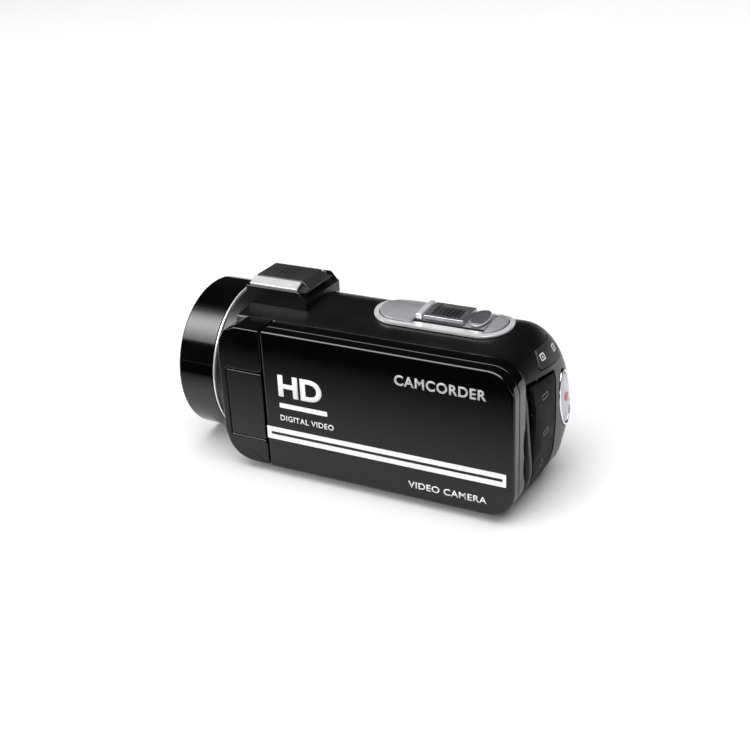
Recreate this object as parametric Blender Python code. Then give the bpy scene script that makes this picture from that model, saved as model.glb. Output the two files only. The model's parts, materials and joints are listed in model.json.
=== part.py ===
"""Camcorder: round-nosed body, swing-out screen on the left, accessory shoe and zoom plate on top,
record button and socket flap at the rear, hand strap on the right.

Millimetre helper frame: the lens axis is Y through x = 0, z = 0, the lens looks along -Y, the screen
is on +X and +Z is up.  W() shifts it so that the object stands on z = 0 with its box centred on the
Z axis, and turns it into metres.
"""
import bpy
import bmesh
import math
from mathutils import Vector

# ---------------------------------------------------------------- driving dimensions, mm
BODY_R = 25.3          # radius of the barrel-shaped right and top side
BAY_X = 20.0           # flat left wall, behind the screen
TOP_Z = 23.6           # flat part of the top, left of centre
BASE_Z = -25.5         # underside
WALL = 1.8             # moulded wall
GAP = 0.3              # clearance between neighbouring pieces
Y_FRONT = -42.0        # front end of the casings
Y_DOME = 43.57         # where the rear rounding starts
DOME_RY = 14.0         # length of the rear rounding
DOME_RI = 16.1         # how far it pulls in
DOME_SHEAR = 0.08      # the lower part reaches further back
RING_R = 25.3
RING_Y0, RING_Y1 = -63.7, -50.3
DOOR_X0, DOOR_XM, DOOR_X1 = 20.6, 26.0, 30.0
DOOR_Y0, DOOR_Y1 = -27.6, 56.0
DOOR_Z0, DOOR_Z1 = -23.0, 24.3
DOOR_R = 8.5
PIVOT = (28.0, -39.0)  # x, y of the screen's swing pin
PIN_R = 1.2
TILT = (23.4, -2.0)    # x, z of the tilt shaft
SHOE_Y0, SHOE_Y1 = -43.0, -25.6
CAP_Y0, CAP_Y1, CAP_U = -1.0, 44.5, 9.3   # zoom plate on the top: length and half width round the barrel
CAP_SIDE = 2.0                            # the plate's middle line lies this far towards the screen
PLATE_R0, PLATE_R1 = 25.65, 26.3
TOP_LEAN = math.radians(5.5)             # the top left of the barrel runs down in a plane at this slope
REC = (-8.5, 0.3)      # x, z of the record button
PORT_HINGE = (-2.6, 57.9)
STRAP_Z0, STRAP_Z1 = -17.0, 6.5
SHIFT = (4.1, 2.461, 25.5)   # centres the box; z lifts the base to 0
SEG = 40

for old in list(bpy.data.objects):
    bpy.data.objects.remove(old, do_unlink=True)

scene = bpy.context.scene
root = bpy.data.objects.new("camcorder", None)
scene.collection.objects.link(root)

MATS = {
    "gloss_black": ((0.012, 0.012, 0.013, 1), 0.0, 0.08),
    "satin_black": ((0.03, 0.03, 0.032, 1), 0.0, 0.38),
    "matte_grey": ((0.07, 0.07, 0.072, 1), 0.0, 0.65),
    "chrome": ((0.82, 0.83, 0.84, 1), 1.0, 0.08),
    "satin_silver": ((0.62, 0.63, 0.65, 1), 0.85, 0.3),
    "steel": ((0.5, 0.5, 0.5, 1), 1.0, 0.35),
    "brass": ((0.7, 0.52, 0.22, 1), 1.0, 0.3),
    "glass": ((0.02, 0.025, 0.03, 1), 0.0, 0.04),
    "board": ((0.02, 0.16, 0.07, 1), 0.0, 0.5),
    "record": ((0.62, 0.62, 0.68, 1), 0.2, 0.3),
    "rubber": ((0.05, 0.05, 0.052, 1), 0.0, 0.7),
    "fabric": ((0.025, 0.025, 0.027, 1), 0.0, 0.9),
    "white": ((0.8, 0.8, 0.8, 1), 0.0, 0.4),
}


def material(name):
    m = bpy.data.materials.get(name)
    if m is None:
        m = bpy.data.materials.new(name)
        m.use_nodes = True
        b = m.node_tree.nodes["Principled BSDF"]
        colour, metal, rough = MATS[name]
        b.inputs["Base Color"].default_value = colour
        b.inputs["Metallic"].default_value = metal
        b.inputs["Roughness"].default_value = rough
        m.diffuse_color = colour
    return m


def own_material(node, kind):
    m = material(kind).copy()
    m.name = node + "_material"
    return m


def W(p):
    return Vector(((p[0] + SHIFT[0]) / 1000, (p[1] + SHIFT[1]) / 1000, (p[2] + SHIFT[2]) / 1000))


def make(name, verts, faces, kind=None, origin=(0, 0, 0), cutter=False, angle=30):
    """A closed mesh from millimetre points; origin is where the object's own origin goes."""
    mesh = bpy.data.meshes.new(name)
    o = W(origin)
    mesh.from_pydata([tuple(W(v) - o) for v in verts], [], faces)
    bm = bmesh.new()
    bm.from_mesh(mesh)
    bmesh.ops.remove_doubles(bm, verts=bm.verts, dist=1e-7)
    bmesh.ops.recalc_face_normals(bm, faces=bm.faces)
    bm.to_mesh(mesh)
    bm.free()
    obj = bpy.data.objects.new(name, mesh)
    scene.collection.objects.link(obj)
    obj.parent = root
    obj.location = o
    if cutter:
        obj.hide_render = True
        obj.display_type = 'WIRE'
    else:
        mesh.shade_smooth()
        mesh.set_sharp_from_angle(angle=math.radians(angle))
        mesh.materials.append(own_material(name, kind))
    return obj


def boolean(obj, other, op='DIFFERENCE', solver='EXACT'):
    m = obj.modifiers.new(op.title() + "_" + other.name, 'BOOLEAN')
    m.object = other
    m.operation = op
    m.solver = solver


# ---------------------------------------------------------------- shape makers
def loft(rings, cap0=True, cap1=True, close=False):
    """Faces between rings of equally many points."""
    n = len(rings[0])
    verts = [p for ring in rings for p in ring]
    faces = []
    last = len(rings) if close else len(rings) - 1
    for k in range(last):
        a, b = k * n, ((k + 1) % len(rings)) * n
        for i in range(n):
            j = (i + 1) % n
            faces.append((a + i, a + j, b + j, b + i))
    if not close:
        for wanted, base in ((cap0, 0), (cap1, (len(rings) - 1) * n)):
            if wanted == 'fan':
                middle = sum((Vector(p) for p in verts[base:base + n]), Vector()) / n
                verts.append(tuple(middle))
                faces += [(base + i, base + (i + 1) % n, len(verts) - 1) for i in range(n)]
            elif wanted:
                faces.append(tuple(range(base, base + n)))
    return verts, faces


def lathe(name, profile, kind, centre=(0, 0), segs=SEG, axis='Y', **kw):
    """Turns a closed (radius, along) profile round an axis.  r = 0 points become poles."""
    verts, index = [], []
    for r, y in profile:
        if r == 0:
            index.append([len(verts)] * segs)
            verts.append(place(0, 0, y, centre, axis))
        else:
            index.append([len(verts) + i for i in range(segs)])
            for i in range(segs):
                t = 2 * math.pi * i / segs
                verts.append(place(r * math.cos(t), r * math.sin(t), y, centre, axis))
    faces = []
    for k in range(len(profile)):
        a, b = index[k], index[(k + 1) % len(profile)]
        for i in range(segs):
            j = (i + 1) % segs
            f = []
            for v in (a[i], a[j], b[j], b[i]):
                if v not in f:
                    f.append(v)
            if len(f) > 2:
                faces.append(tuple(f))
    return make(name, verts, faces, kind, **kw)


def place(a, b, along, centre, axis):
    if axis == 'Y':
        return (centre[0] + a, along, centre[1] + b)
    if axis == 'Z':
        return (centre[0] + a, centre[1] + b, along)
    return (along, centre[0] + a, centre[1] + b)


def prism(name, outline, lo, hi, axis, kind=None, **kw):
    """Extrudes a closed 2-D outline.  axis Y: (x, z); axis X: (y, z); axis Z: (x, y)."""
    def at(p, v):
        return {'Y': (p[0], v, p[1]), 'X': (v, p[0], p[1]), 'Z': (p[0], p[1], v)}[axis]
    verts, faces = loft([[at(p, lo) for p in outline], [at(p, hi) for p in outline]])
    return make(name, verts, faces, kind, **kw)


def block(name, lo, hi, kind=None, **kw):
    return prism(name, [(lo[0], lo[1]), (hi[0], lo[1]), (hi[0], hi[1]), (lo[0], hi[1])], lo[2], hi[2], 'Z', kind, **kw)


def circle(cx, cy, r, n=24):
    return [(cx + r * math.cos(2 * math.pi * i / n), cy + r * math.sin(2 * math.pi * i / n)) for i in range(n)]


def oval(cx, cz, a, b, n=28, tilt=0.0):
    out = []
    for i in range(n):
        t = 2 * math.pi * i / n
        x, z = a * math.cos(t), b * math.sin(t)
        out.append((cx + x * math.cos(tilt) - z * math.sin(tilt), cz + x * math.sin(tilt) + z * math.cos(tilt)))
    return out


def rounded(lo, hi, radii, n=5, inset=0.0):
    """Rounded rectangle; radii are for the corners (lo,lo) (hi,lo) (hi,hi) (lo,hi)."""
    (a0, b0), (a1, b1) = (lo[0] + inset, lo[1] + inset), (hi[0] - inset, hi[1] - inset)
    out = []
    for k, (cx, cz) in enumerate(((a0, b0), (a1, b0), (a1, b1), (a0, b1))):
        r = max(radii[k] - inset, 0.25)
        mx = cx + r if cx == a0 else cx - r
        mz = cz + r if cz == b0 else cz - r
        for i in range(n + 1):
            t = math.radians(180 + 90 * k + 90 * i / n)
            out.append((mx + r * math.cos(t), mz + r * math.sin(t)))
    return out


def grown(outline, d):
    """The outline pushed outwards by d."""
    n = len(outline)
    area = sum(outline[i][0] * outline[(i + 1) % n][1] - outline[(i + 1) % n][0] * outline[i][1] for i in range(n))
    s = 1 if area > 0 else -1
    out = []
    for i in range(n):
        p, q, r = Vector(outline[i - 1]), Vector(outline[i]), Vector(outline[(i + 1) % n])
        e1, e2 = (q - p).normalized(), (r - q).normalized()
        n1, n2 = Vector((e1.y, -e1.x)) * s, Vector((e2.y, -e2.x)) * s
        m = (n1 + n2).normalized()
        out.append(tuple(q + m * d / max(m.dot(n1), 0.4)))
    return out


def directions(step=9.0, corner=4):
    """Directions, in degrees, whose tangents make the body section."""
    out = [84.5 * i / corner for i in range(corner)]
    k = round((235.6 - 84.5) / step)
    out += [84.5 + (235.6 - 84.5) * i / k for i in range(k + 1)]
    out += [235.6 + (270 - 235.6) * i / corner for i in range(1, corner + 1)]
    out += [270 + 90 * i / corner for i in range(1, corner)]
    return [math.radians(d) for d in out]


def section(r, xl, zt, zb, rc, step=9.0, corner=4):
    """Body section: a circle joined to a box on its left, each side a tangent in its direction."""
    discs = ((0, 0, r), (xl - rc, zt - rc, rc), (xl - rc, zb + rc, rc), (-6.0, zb + 5.0, 5.0))
    dirs = directions(step, corner)
    h = [max(c[0] * math.cos(t) + c[1] * math.sin(t) + c[2] for c in discs) for t in dirs]
    out = []
    for i, t in enumerate(dirs):
        t2, h2 = dirs[(i + 1) % len(dirs)], h[(i + 1) % len(dirs)]
        d = math.sin(t2 - t)
        out.append(((h[i] * math.sin(t2) - h2 * math.sin(t)) / d, (h2 * math.cos(t) - h[i] * math.cos(t2)) / d))
    return out


OUTER = section(BODY_R, BAY_X, TOP_Z, BASE_Z, 1.2)
INNER = section(BODY_R - WALL, BAY_X - WALL, TOP_Z - WALL, BASE_Z + WALL, 0.5)


def dome_y(x, z, sin_a, ry):
    return Y_DOME + ry * sin_a - DOME_SHEAR * z * sin_a - 1.6 * max(0.0, (x - 10) / 10) ** 2 * sin_a


def dome_rings(outline, ry, ri, y_start, steps=5):
    """Rings from the straight part, over the rear rounding, to the middle of the rear face."""
    rings = [[(x, y_start, z) for x, z in outline]]
    for k in range(steps + 1):
        a = math.pi / 2 * k / steps
        s, sl = 1 - ri / BODY_R * (1 - math.cos(a)), 1 - 0.04 * (1 - math.cos(a))
        ring = []
        for x, z in outline:
            x1, z1 = x * (s if x < 0 else sl), z * s
            ring.append((x1, dome_y(x1, z1, math.sin(a), ry), z1))
        rings.append(ring)
    for t in (0.6,):
        rings.append([(x * t, dome_y(x * t, z * t, 1, ry), z * t) for x, y, z in rings[steps + 1]])
    return rings


def dome_shell(outer, inner, y_start, ry_in=DOME_RY - WALL):
    """A rear shell: outer and inner domes joined by a flat rim at y_start."""
    a = dome_rings(outer, DOME_RY, DOME_RI, y_start)
    b = dome_rings(inner, ry_in, DOME_RI, y_start)
    verts, faces = loft(a[::-1] + b, cap0='fan', cap1='fan')
    return verts, faces


# ---------------------------------------------------------------- casings
ring_front = lathe("front_ring", [(RING_R, RING_Y1), (RING_R, RING_Y0 + 1.2), (25.05, RING_Y0 + 0.5), (24.4, RING_Y0), (22.8, RING_Y0),
                                  (21.6, RING_Y0 + 1.0), (20.9, -59.1), (20.9, RING_Y1)], "gloss_black")
lathe("chrome_trim_ring", [(25.45, -49.95), (25.45, -49.35), (22.3, -49.35), (22.3, -49.95)], "chrome")
lathe("front_collar", [(25.0, -49.05), (25.0, -42.3), (22.6, -42.3), (22.6, -49.05)], "satin_black")
front_plate = lathe("front_plate", [(20.55, -58.9), (20.55, -57.4), (13.0, -56.4), (13.0, -58.0)], "satin_black")
boolean(front_plate, prism("cut_front_lamp", circle(0, 16.6, 2.55, 16), -62, -50, 'Y', cutter=True))
for side, x in (("left", 5.6), ("right", -5.6)):
    boolean(front_plate, prism("cut_mic_" + side, rounded((x - 2.3, -17.9), (x + 2.3, -15.9), [0.9] * 4, 3), -62, -50, 'Y', cutter=True))
    prism("microphone_grille_" + side, rounded((x - 2.0, -17.6), (x + 2.0, -16.2), [0.65] * 4, 3), -58.6, -57.2, 'Y', "steel")
lathe("front_lamp_lens", [(0, -58.9), (2.2, -58.7), (2.2, -57.0), (0, -57.0)], "glass", centre=(0, 16.6), segs=16)
lathe("lens_barrel", [(12.6, -58.6), (12.6, -24.0), (11.2, -24.0), (11.2, -56.8), (11.9, -58.6)], "satin_black", segs=32)
lathe("front_lens", [(0, -56.9), (4.0, -56.6), (8.0, -55.6), (10.9, -54.2), (10.9, -52.4), (0, -52.0)], "glass", segs=32)
lathe("rear_lens", [(0, -31.0), (6.0, -30.5), (10.9, -29.2), (10.9, -27.4), (6.0, -26.6), (0, -26.3)], "glass", segs=24)
lathe("sensor_holder", [(12.6, -23.7), (12.6, -20.0), (8.0, -15.2), (6.9, -15.2), (11.0, -20.0), (11.0, -23.7)], "satin_black", segs=24)
block("sensor_board", (-11, -14.9, -10), (11, -13.3, 10), "board")

# top casing: the whole top and the rear rounding in one moulding
verts, faces = dome_shell(OUTER, INNER, Y_FRONT)
top_casing = make("top_casing", verts, faces, "satin_black")
boolean(top_casing, block("cut_right_side", (-40, -50, -40), (18.05, 43.15, 12.6), cutter=True))
boolean(top_casing, block("cut_left_side", (18.05, -50, -40), (40, 70, 21.65), cutter=True))
boolean(top_casing, block("cut_battery_slot", (-7.15, 42, -40), (14.35, 51.3, -23.2), cutter=True))

PORT = [(-0.9, 11.8), (-1.5, 8.9), (-0.4, 0.0), (2.2, -8.4), (4.1, -15.4), (6.8, -19.6), (17.4, -20.4),
        (17.6, -10.0), (16.9, -5.5), (15.6, -1.0), (14.6, 4.0), (14.1, 9.0), (13.5, 12.9)]
PORT_HOLE = [(-1.5, 12.7), (-2.0, 9.0), (-0.8, -0.1), (1.8, -8.6), (3.7, -15.7), (6.4, -20.1), (21.0, -21.0), (21.0, 15.3), (15.5, 14.9)]
KEYS = [(4.0, 20.3), (-9.0, 19.9), (-12.6, 13.5), (-3.0, 14.2), (7.2, 15.6)]
boolean(top_casing, prism("cut_port", PORT_HOLE, 45, 70, 'Y', cutter=True), solver='MANIFOLD')
boolean(top_casing, prism("cut_keys", grown(KEYS, 0.35), 45, 70, 'Y', cutter=True))
boolean(top_casing, prism("cut_record", oval(REC[0], REC[1], 4.95, 9.65), 45, 70, 'Y', cutter=True))


# right casing: the grip side, from the seam at z = 12.3 round to the base
def clip(outline, keep, cut_z=None):
    """The run of outline points that pass keep, in order, with the cut ends added on z = cut_z."""
    n = len(outline)
    start = next(i for i in range(n) if keep(outline[i]) and not keep(outline[i - 1]))
    run = []
    for k in range(n):
        p = outline[(start + k) % n]
        if not keep(p):
            break
        run.append(p)
    before, after = outline[start - 1], outline[(start + len(run)) % n]
    return before, run, after


def cross(p, q, z):
    t = (z - p[1]) / (q[1] - p[1])
    return (p[0] + (q[0] - p[0]) * t, z)


def right_run(outline, z_hi, z_lo):
    before, run, after = clip(outline, lambda p: p[0] < 0 and z_lo < p[1] < z_hi)
    return [cross(before, run[0], z_hi)] + run + [cross(run[-1], after, z_lo)]


outer_run = right_run(OUTER, 12.3, -23.4)
inner_run = right_run(INNER, 12.3, -23.4)
right_casing = prism("right_casing", outer_run + inner_run[::-1], Y_FRONT, 42.85, 'Y', "satin_black")


# left casing: the flat wall behind the screen, its rear edge following the rear rounding
def left_profile(z, x=19.0):
    zt = TOP_Z if z > 0 else -BASE_Z
    c = 1 - (1 - abs(z) / zt) * BODY_R / DOME_RI
    a = math.pi / 2 if c < 0 else math.acos(min(c, 1.0))
    return dome_y(x, z, math.sin(a), DOME_RY)


zs = [21.35 - (21.35 + 23.4) * i / 14 for i in range(15)]
left_outline = [(Y_FRONT, -23.4), (Y_FRONT, 21.35)] + [(left_profile(z), z) for z in zs]
left_casing = prism("left_casing", left_outline, 18.3, BAY_X, 'X', "satin_black")
boolean(left_casing, prism("cut_speaker", circle(36, 8, 5.3, 20), 10, 25, 'X', cutter=True))
boolean(left_casing, prism("cut_power", circle(44, -8, 3.0, 18), 10, 25, 'X', cutter=True))
boolean(left_casing, prism("cut_display", circle(34, -8, 2.6, 18), 10, 25, 'X', cutter=True))
boolean(left_casing, block("cut_hinge_cable", (10, -36, -6), (25, -33, 2), cutter=True))
prism("speaker_grille", circle(36, 8, 5.0, 20), 18.6, 19.8, 'X', "steel")
lathe("speaker", [(0, 18.2), (4.8, 18.2), (4.8, 16.0), (3.0, 14.6), (0, 14.6)], "steel", centre=(36, 8), segs=20, axis='X')
lathe("power_button", [(0, 20.2), (2.1, 20.2), (2.5, 19.9), (2.5, 18.15), (3.6, 18.0), (3.6, 17.4), (0, 17.4)][::-1], "satin_silver",
      centre=(44, -8), segs=18, axis='X', origin=(20.0, 44, -8))
lathe("display_button", [(0, 20.2), (1.8, 20.2), (2.15, 19.9), (2.15, 18.15), (3.2, 18.0), (3.2, 17.4), (0, 17.4)][::-1], "matte_grey",
      centre=(34, -8), segs=18, axis='X', origin=(20.0, 34, -8))

# base cover: the slab below z = -23.7
before, run, after = clip(OUTER, lambda p: p[1] < -23.7)
base_outline = [cross(before, run[0], -23.7)] + run + [cross(run[-1], after, -23.7)]
base_cover = prism("base_cover", base_outline, Y_FRONT, 42.85, 'Y', "satin_black")
boolean(base_cover, block("cut_battery_door", (-7.1, -10.3, -40), (14.3, 60, 0), cutter=True))
boolean(base_cover, prism("cut_tripod", circle(5.5, -26, 6.3, 24), -40, 0, 'Z', cutter=True))
SCREWS = (("front_left", 15.5, -38), ("front_right", -5.5, -38), ("rear_left", 17.1, 36))
for tag, x, y in SCREWS:
    boolean(base_cover, prism("cut_screw_" + tag, circle(x, y, 1.95, 12), -40, 0, 'Z', cutter=True))
    lathe("base_screw_" + tag, [(0, -24.75), (0.7, -24.75), (0.7, -25.2), (1.65, -25.2), (1.65, -24.2), (0.9, -24.0), (0.9, -19.5), (0, -19.5)],
          "steel", centre=(x, y), segs=12, axis='Z')
lathe("tripod_bush", [(6.0, -25.3), (6.0, -23.4), (4.9, -23.4), (4.9, -18.3), (3.15, -18.3), (3.15, -25.0), (3.45, -25.3)], "brass",
      centre=(5.5, -26), segs=24, axis='Z')

# battery pack and its sliding door
door_profile = [(-10.0, -25.2), (44.0, -25.2), (47.0, -24.95), (49.0, -24.45), (50.3, -24.05), (50.3, -23.85), (-10.0, -23.85)]
battery_door = prism("battery_door", door_profile, -6.8, 14.0, 'X', "satin_black", origin=(2.5, 20, -24.5))
prism("battery_pack", rounded((-6.3, -9.5), (13.5, 41.5), [1.5] * 4, 3), -23.3, -8.6, 'Z', "matte_grey")
block("main_board", (-12, -8, -7.9), (14, 41, -6.3), "board")
block("card_socket", (-9, 12, -5.9), (12, 38, -3.2), "steel")

# ---------------------------------------------------------------- rear face
KEY_PIVOT = (-2.5, 53.3, 17.0)


def patch(name, outline, kind, thick, lift=0.0, **kw):
    """A piece cut from the rear rounding itself, so that it lies flush in it."""
    sec = section(BODY_R + lift, BAY_X + lift, TOP_Z + lift, BASE_Z - lift, 1.2)
    sec_in = section(BODY_R - thick, BAY_X - thick, TOP_Z - thick, BASE_Z + thick, 0.5)
    a = dome_rings(sec, DOME_RY + lift, DOME_RI, 42.0)
    b = dome_rings(sec_in, DOME_RY - thick, DOME_RI, 42.0)
    v, f = loft(a[::-1] + b, cap0='fan', cap1='fan')
    obj = make(name, v, f, kind, **kw)
    boolean(obj, prism("keep_" + name, outline, 46, 72, 'Y', cutter=True), 'INTERSECT')
    return obj


patch("rear_key_rocker", KEYS, "matte_grey", 1.5, 0.1, origin=KEY_PIVOT)
patch("port_cover", PORT, "rubber", 1.5, -0.15, origin=(PORT_HINGE[0], PORT_HINGE[1], -3.5))


def sheared(outline_a, outline_b, y0, y1, name, kind, top_inset=0.0, **kw):
    """A ring (or a plug when outline_b is None) whose rear face leans like the rear of the body."""
    def at(p, y):
        return (p[0], y - DOME_SHEAR * p[1], p[1])
    if outline_b is None:
        small = grown(outline_a, -top_inset)
        rings = [[at(p, y0) for p in outline_a], [at(p, y1 - top_inset) for p in outline_a], [at(p, y1) for p in small]]
        v, f = loft(rings)
    else:
        small = grown(outline_a, -0.4)
        rings = [[at(p, y0) for p in outline_a], [at(p, y1 - 0.4) for p in outline_a], [at(p, y1) for p in small],
                 [at(p, y1) for p in outline_b], [at(p, y0) for p in outline_b]]
        v, f = loft(rings, close=True)
    return make(name, v, f, kind, **kw)


sheared(oval(REC[0], REC[1], 4.6, 9.3), oval(REC[0], REC[1], 3.75, 8.45), 54.6, 57.9, "record_bezel", "chrome")
sheared(oval(REC[0], REC[1], 3.45, 8.15), None, 54.6, 58.2, "record_button", "record", top_inset=0.6, origin=(REC[0], 57.0, REC[1]))

# sockets behind the flap
prism("socket_panel", [(-0.2, 13.0), (17.3, 13.0), (17.3, -18.0), (6.0, -18.0), (2.0, -10.0), (-0.2, 0.0)], 47.6, 49.2, 'Y', "matte_grey")


def socket(name, cx, cz, w, h, kind="steel"):
    a = rounded((cx - w / 2, cz - h / 2), (cx + w / 2, cz + h / 2), [0.7] * 4, 2)
    b = rounded((cx - w / 2 + 0.6, cz - h / 2 + 0.6), (cx + w / 2 - 0.6, cz + h / 2 - 0.6), [0.4] * 4, 2)
    rings = [[(p[0], 49.5, p[1]) for p in a], [(p[0], 53.0, p[1]) for p in a],
             [(p[0], 53.0, p[1]) for p in b], [(p[0], 50.2, p[1]) for p in b]]
    v, f = loft(rings)
    return make(name, v, f, kind)


socket("hdmi_socket", 8.0, 7.6, 10.6, 4.0)
socket("usb_socket", 8.4, -3.0, 8.6, 3.6)
lathe("microphone_jack", [(3.2, 49.5), (3.2, 52.9), (1.8, 52.9), (1.8, 50.3), (0, 50.3), (0, 49.5)], "satin_black", centre=(11.6, -12.4), segs=20)

# ---------------------------------------------------------------- accessory shoe
def top_z(x):
    """Height of the body's top surface."""
    if x > BODY_R * math.sin(TOP_LEAN):
        return (BODY_R - x * math.sin(TOP_LEAN)) / math.cos(TOP_LEAN)
    return math.sqrt(BODY_R ** 2 - x * x)


xs = [10.8 - 21.6 * i / 12 for i in range(13)]
pedestal = [(x, top_z(x) + 0.35) for x in xs] + [(-10.8, 30.0), (-10.0, 30.2), (-9.95, 27.7), (9.95, 27.7), (10.0, 30.2), (10.8, 30.0)]
rings = []
for y, low in ((-43.6, 0.0), (-24.6, 0.0), (-21.6, 1.0)):
    rings.append([(x, y, z if i < 13 else z - low * (z - 27.2)) for i, (x, z) in enumerate(pedestal)])
v, f = loft(rings)
make("shoe_pedestal", v, f, "satin_black")
rail = [(-9.6, 28.0), (9.6, 28.0), (9.6, 30.6), (6.3, 32.1), (6.3, 31.1), (8.9, 30.2), (8.9, 28.7),
        (-8.9, 28.7), (-8.9, 30.2), (-6.3, 31.1), (-6.3, 32.1), (-9.6, 30.6)]
prism("shoe_rails", rail, SHOE_Y0, SHOE_Y1, 'Y', "chrome")
foot = [(-8.5, 29.05), (8.5, 29.05), (8.5, 29.8), (6.0, 30.4), (6.0, 32.2), (-6.0, 32.2), (-6.0, 30.4), (-8.5, 29.8)]
rings = []
for y, top in ((-42.4, 40.0), (-25.8, 40.0), (-22.9, 29.9)):
    rings.append([(x, y, min(z, top)) for x, z in foot])
rings[2] = [(x, -22.9, z if z < 29.5 else 29.5 + 0.35 * (z - 29.5) / 2.7) for x, z in foot]
v, f = loft(rings)
make("shoe_cover", v, f, "matte_grey", origin=(0, -34, 30.5))


# ---------------------------------------------------------------- zoom plate on the top
def on_top(th, d, y, round_all):
    """A point d above the top surface, th round from the middle; round_all keeps to the circle all the way."""
    if round_all or th < TOP_LEAN:
        return ((BODY_R + d) * math.sin(th), y, (BODY_R + d) * math.cos(th))
    s, c = math.sin(TOP_LEAN), math.cos(TOP_LEAN)
    u = BODY_R * (th - TOP_LEAN)
    return ((BODY_R + d) * s + u * c, y, (BODY_R + d) * c - u * s)


def wrapped(name, u_half, y_lo, y_hi, r0, r1, kind=None, slices=10, end=None, y_min=None, y_max=None, round_all=False, **kw):
    """A round-ended slab bent round the barrel: u runs round it, y along it."""
    end = u_half if end is None else end
    deep = end
    if y_min is not None:
        deep = min(deep, y_hi - y_min - 0.3)
    if y_max is not None:
        deep = min(deep, y_max - y_lo - 0.3)
    u_lim = u_half * math.sqrt(1 - (1 - deep / end) ** 2)
    rows = []
    for k in range(slices + 1):
        t = math.pi * k / slices
        u = -u_lim * math.cos(t)
        e = end * (1 - math.sqrt(max(0.0, 1 - (u / u_half) ** 2)))
        a, b = y_lo + e, y_hi - e
        if y_min is not None:
            a = max(a, y_min)
        if y_max is not None:
            b = min(b, y_max)
        rows.append(((u + CAP_SIDE) / BODY_R, a, b))
    rings = []
    for th, a, b in rows:
        rings.append([on_top(th, r - BODY_R, y, round_all) for r, y in ((r0, a), (r0, b), (r1, b), (r1, a))])
    v, f = loft(rings)
    return make(name, v, f, kind, **kw)


rim = wrapped("zoom_plate_rim", CAP_U, CAP_Y0, CAP_Y1, PLATE_R0, PLATE_R1, "chrome", slices=14)
boolean(rim, wrapped("cut_plate_front", 7.7, CAP_Y0 + 1.6, CAP_Y1 - 1.6, 20, 40, slices=14, y_max=14.6, cutter=True))
boolean(rim, wrapped("cut_plate_rear", 7.7, CAP_Y0 + 1.6, CAP_Y1 - 1.6, 20, 40, slices=14, y_min=37.4, cutter=True))
boolean(rim, wrapped("cut_plate_middle", 5.7, 14.0, 38.0, 20, 40, slices=10, end=0.01, cutter=True))
wrapped("zoom_plate_inner", 5.35, 14.9, 37.1, PLATE_R0, PLATE_R1, "satin_silver", slices=10, end=0.01)
wrapped("zoom_front_cap", 7.35, CAP_Y0 + 1.95, CAP_Y1 - 1.95, PLATE_R0, 27.0, "satin_silver", slices=12, y_max=14.3)
wrapped("zoom_rear_cap", 7.35, CAP_Y0 + 1.95, CAP_Y1 - 1.95, PLATE_R0, 26.9, "satin_silver", slices=12, y_min=37.7)
lever = wrapped("zoom_lever", 5.0, 17.3, 30.6, 26.95, 28.2, "matte_grey", slices=10, end=0.01, origin=(2, 24, 0))
boolean(lever, wrapped("cut_lever_well", 3.6, 19.3, 28.8, 27.4, 40, slices=8, end=0.01, cutter=True))
wrapped("zoom_lever_bar", 5.3, 14.9, 16.95, 26.95, 28.5, "chrome", slices=8, end=0.01, origin=(2, 24, 0))
wrapped("photo_button", 4.9, 31.6, 36.9, 27.05, 28.1, "satin_silver", slices=10, end=2.4, origin=(2, 34.2, 27.6))

# ---------------------------------------------------------------- hinge and screen
cowl_out = [(-27.9, -22.6), (-27.9, -13.8), (-41.3, -13.8), (-41.3, 9.5), (-27.9, 9.5), (-27.9, 24.0), (-37.0, 24.0), (-41.0, 22.3),
            (-43.2, 18.5), (-43.7, 14.0), (-43.7, -13.0), (-42.2, -18.0), (-39.2, -21.2), (-35.0, -22.6)]
cowl = prism("hinge_cowl", cowl_out, 20.6, DOOR_X1 - 0.1, 'X', "gloss_black")
boolean(cowl, prism("cut_collar", circle(0, 0, 25.4, SEG), -60, -41.95, 'Y', cutter=True))
boolean(cowl, prism("cut_swing_room", circle(PIVOT[0], PIVOT[1], 3.0, 32), -13.75, 9.45, 'Z', cutter=True))
boolean(cowl, prism("cut_pin_bore", circle(PIVOT[0], PIVOT[1], PIN_R + 0.1, 20), -18, 14, 'Z', cutter=True))
hb = [(20.6, -28.2), (20.6, -40.2), (21.4, -41.0)]
hb += [(29.6, -41.0), (29.88, -40.88), (30.0, -40.6), (30.0, -28.6), (29.6, -28.2)]
hinge_block = prism("hinge_block", hb, -13.5, 9.2, 'Z', "gloss_black", origin=(PIVOT[0], PIVOT[1], -2))
boolean(hinge_block, prism("cut_block_pin", circle(PIVOT[0], PIVOT[1], PIN_R + 0.1, 20), -20, 20, 'Z', cutter=True))
boolean(hinge_block, prism("cut_block_shaft", circle(TILT[0], TILT[1], 2.1, 20), -37.5, -20, 'Y', cutter=True))
lathe("swing_pin", [(0, -17.6), (PIN_R, -17.6), (PIN_R, 13.6), (0, 13.6)], "steel", centre=PIVOT, segs=20, axis='Z', origin=(PIVOT[0], PIVOT[1], -2))
lathe("tilt_shaft", [(0, -37.0), (1.8, -37.0), (1.8, -24.4), (0, -24.4)], "steel", centre=TILT, segs=20, origin=(TILT[0], -30, TILT[1]))
block("hinge_bracket", (15.6, -41.0, -16), (17.0, -29.0, 13), "steel")


def door_loop(inset, x, radii=(1.2, DOOR_R, DOOR_R, 1.2)):
    pts = rounded((DOOR_Y0, DOOR_Z0), (DOOR_Y1, DOOR_Z1), radii, 6, inset)
    return [(x, p[0], p[1]) for p in pts]


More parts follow.
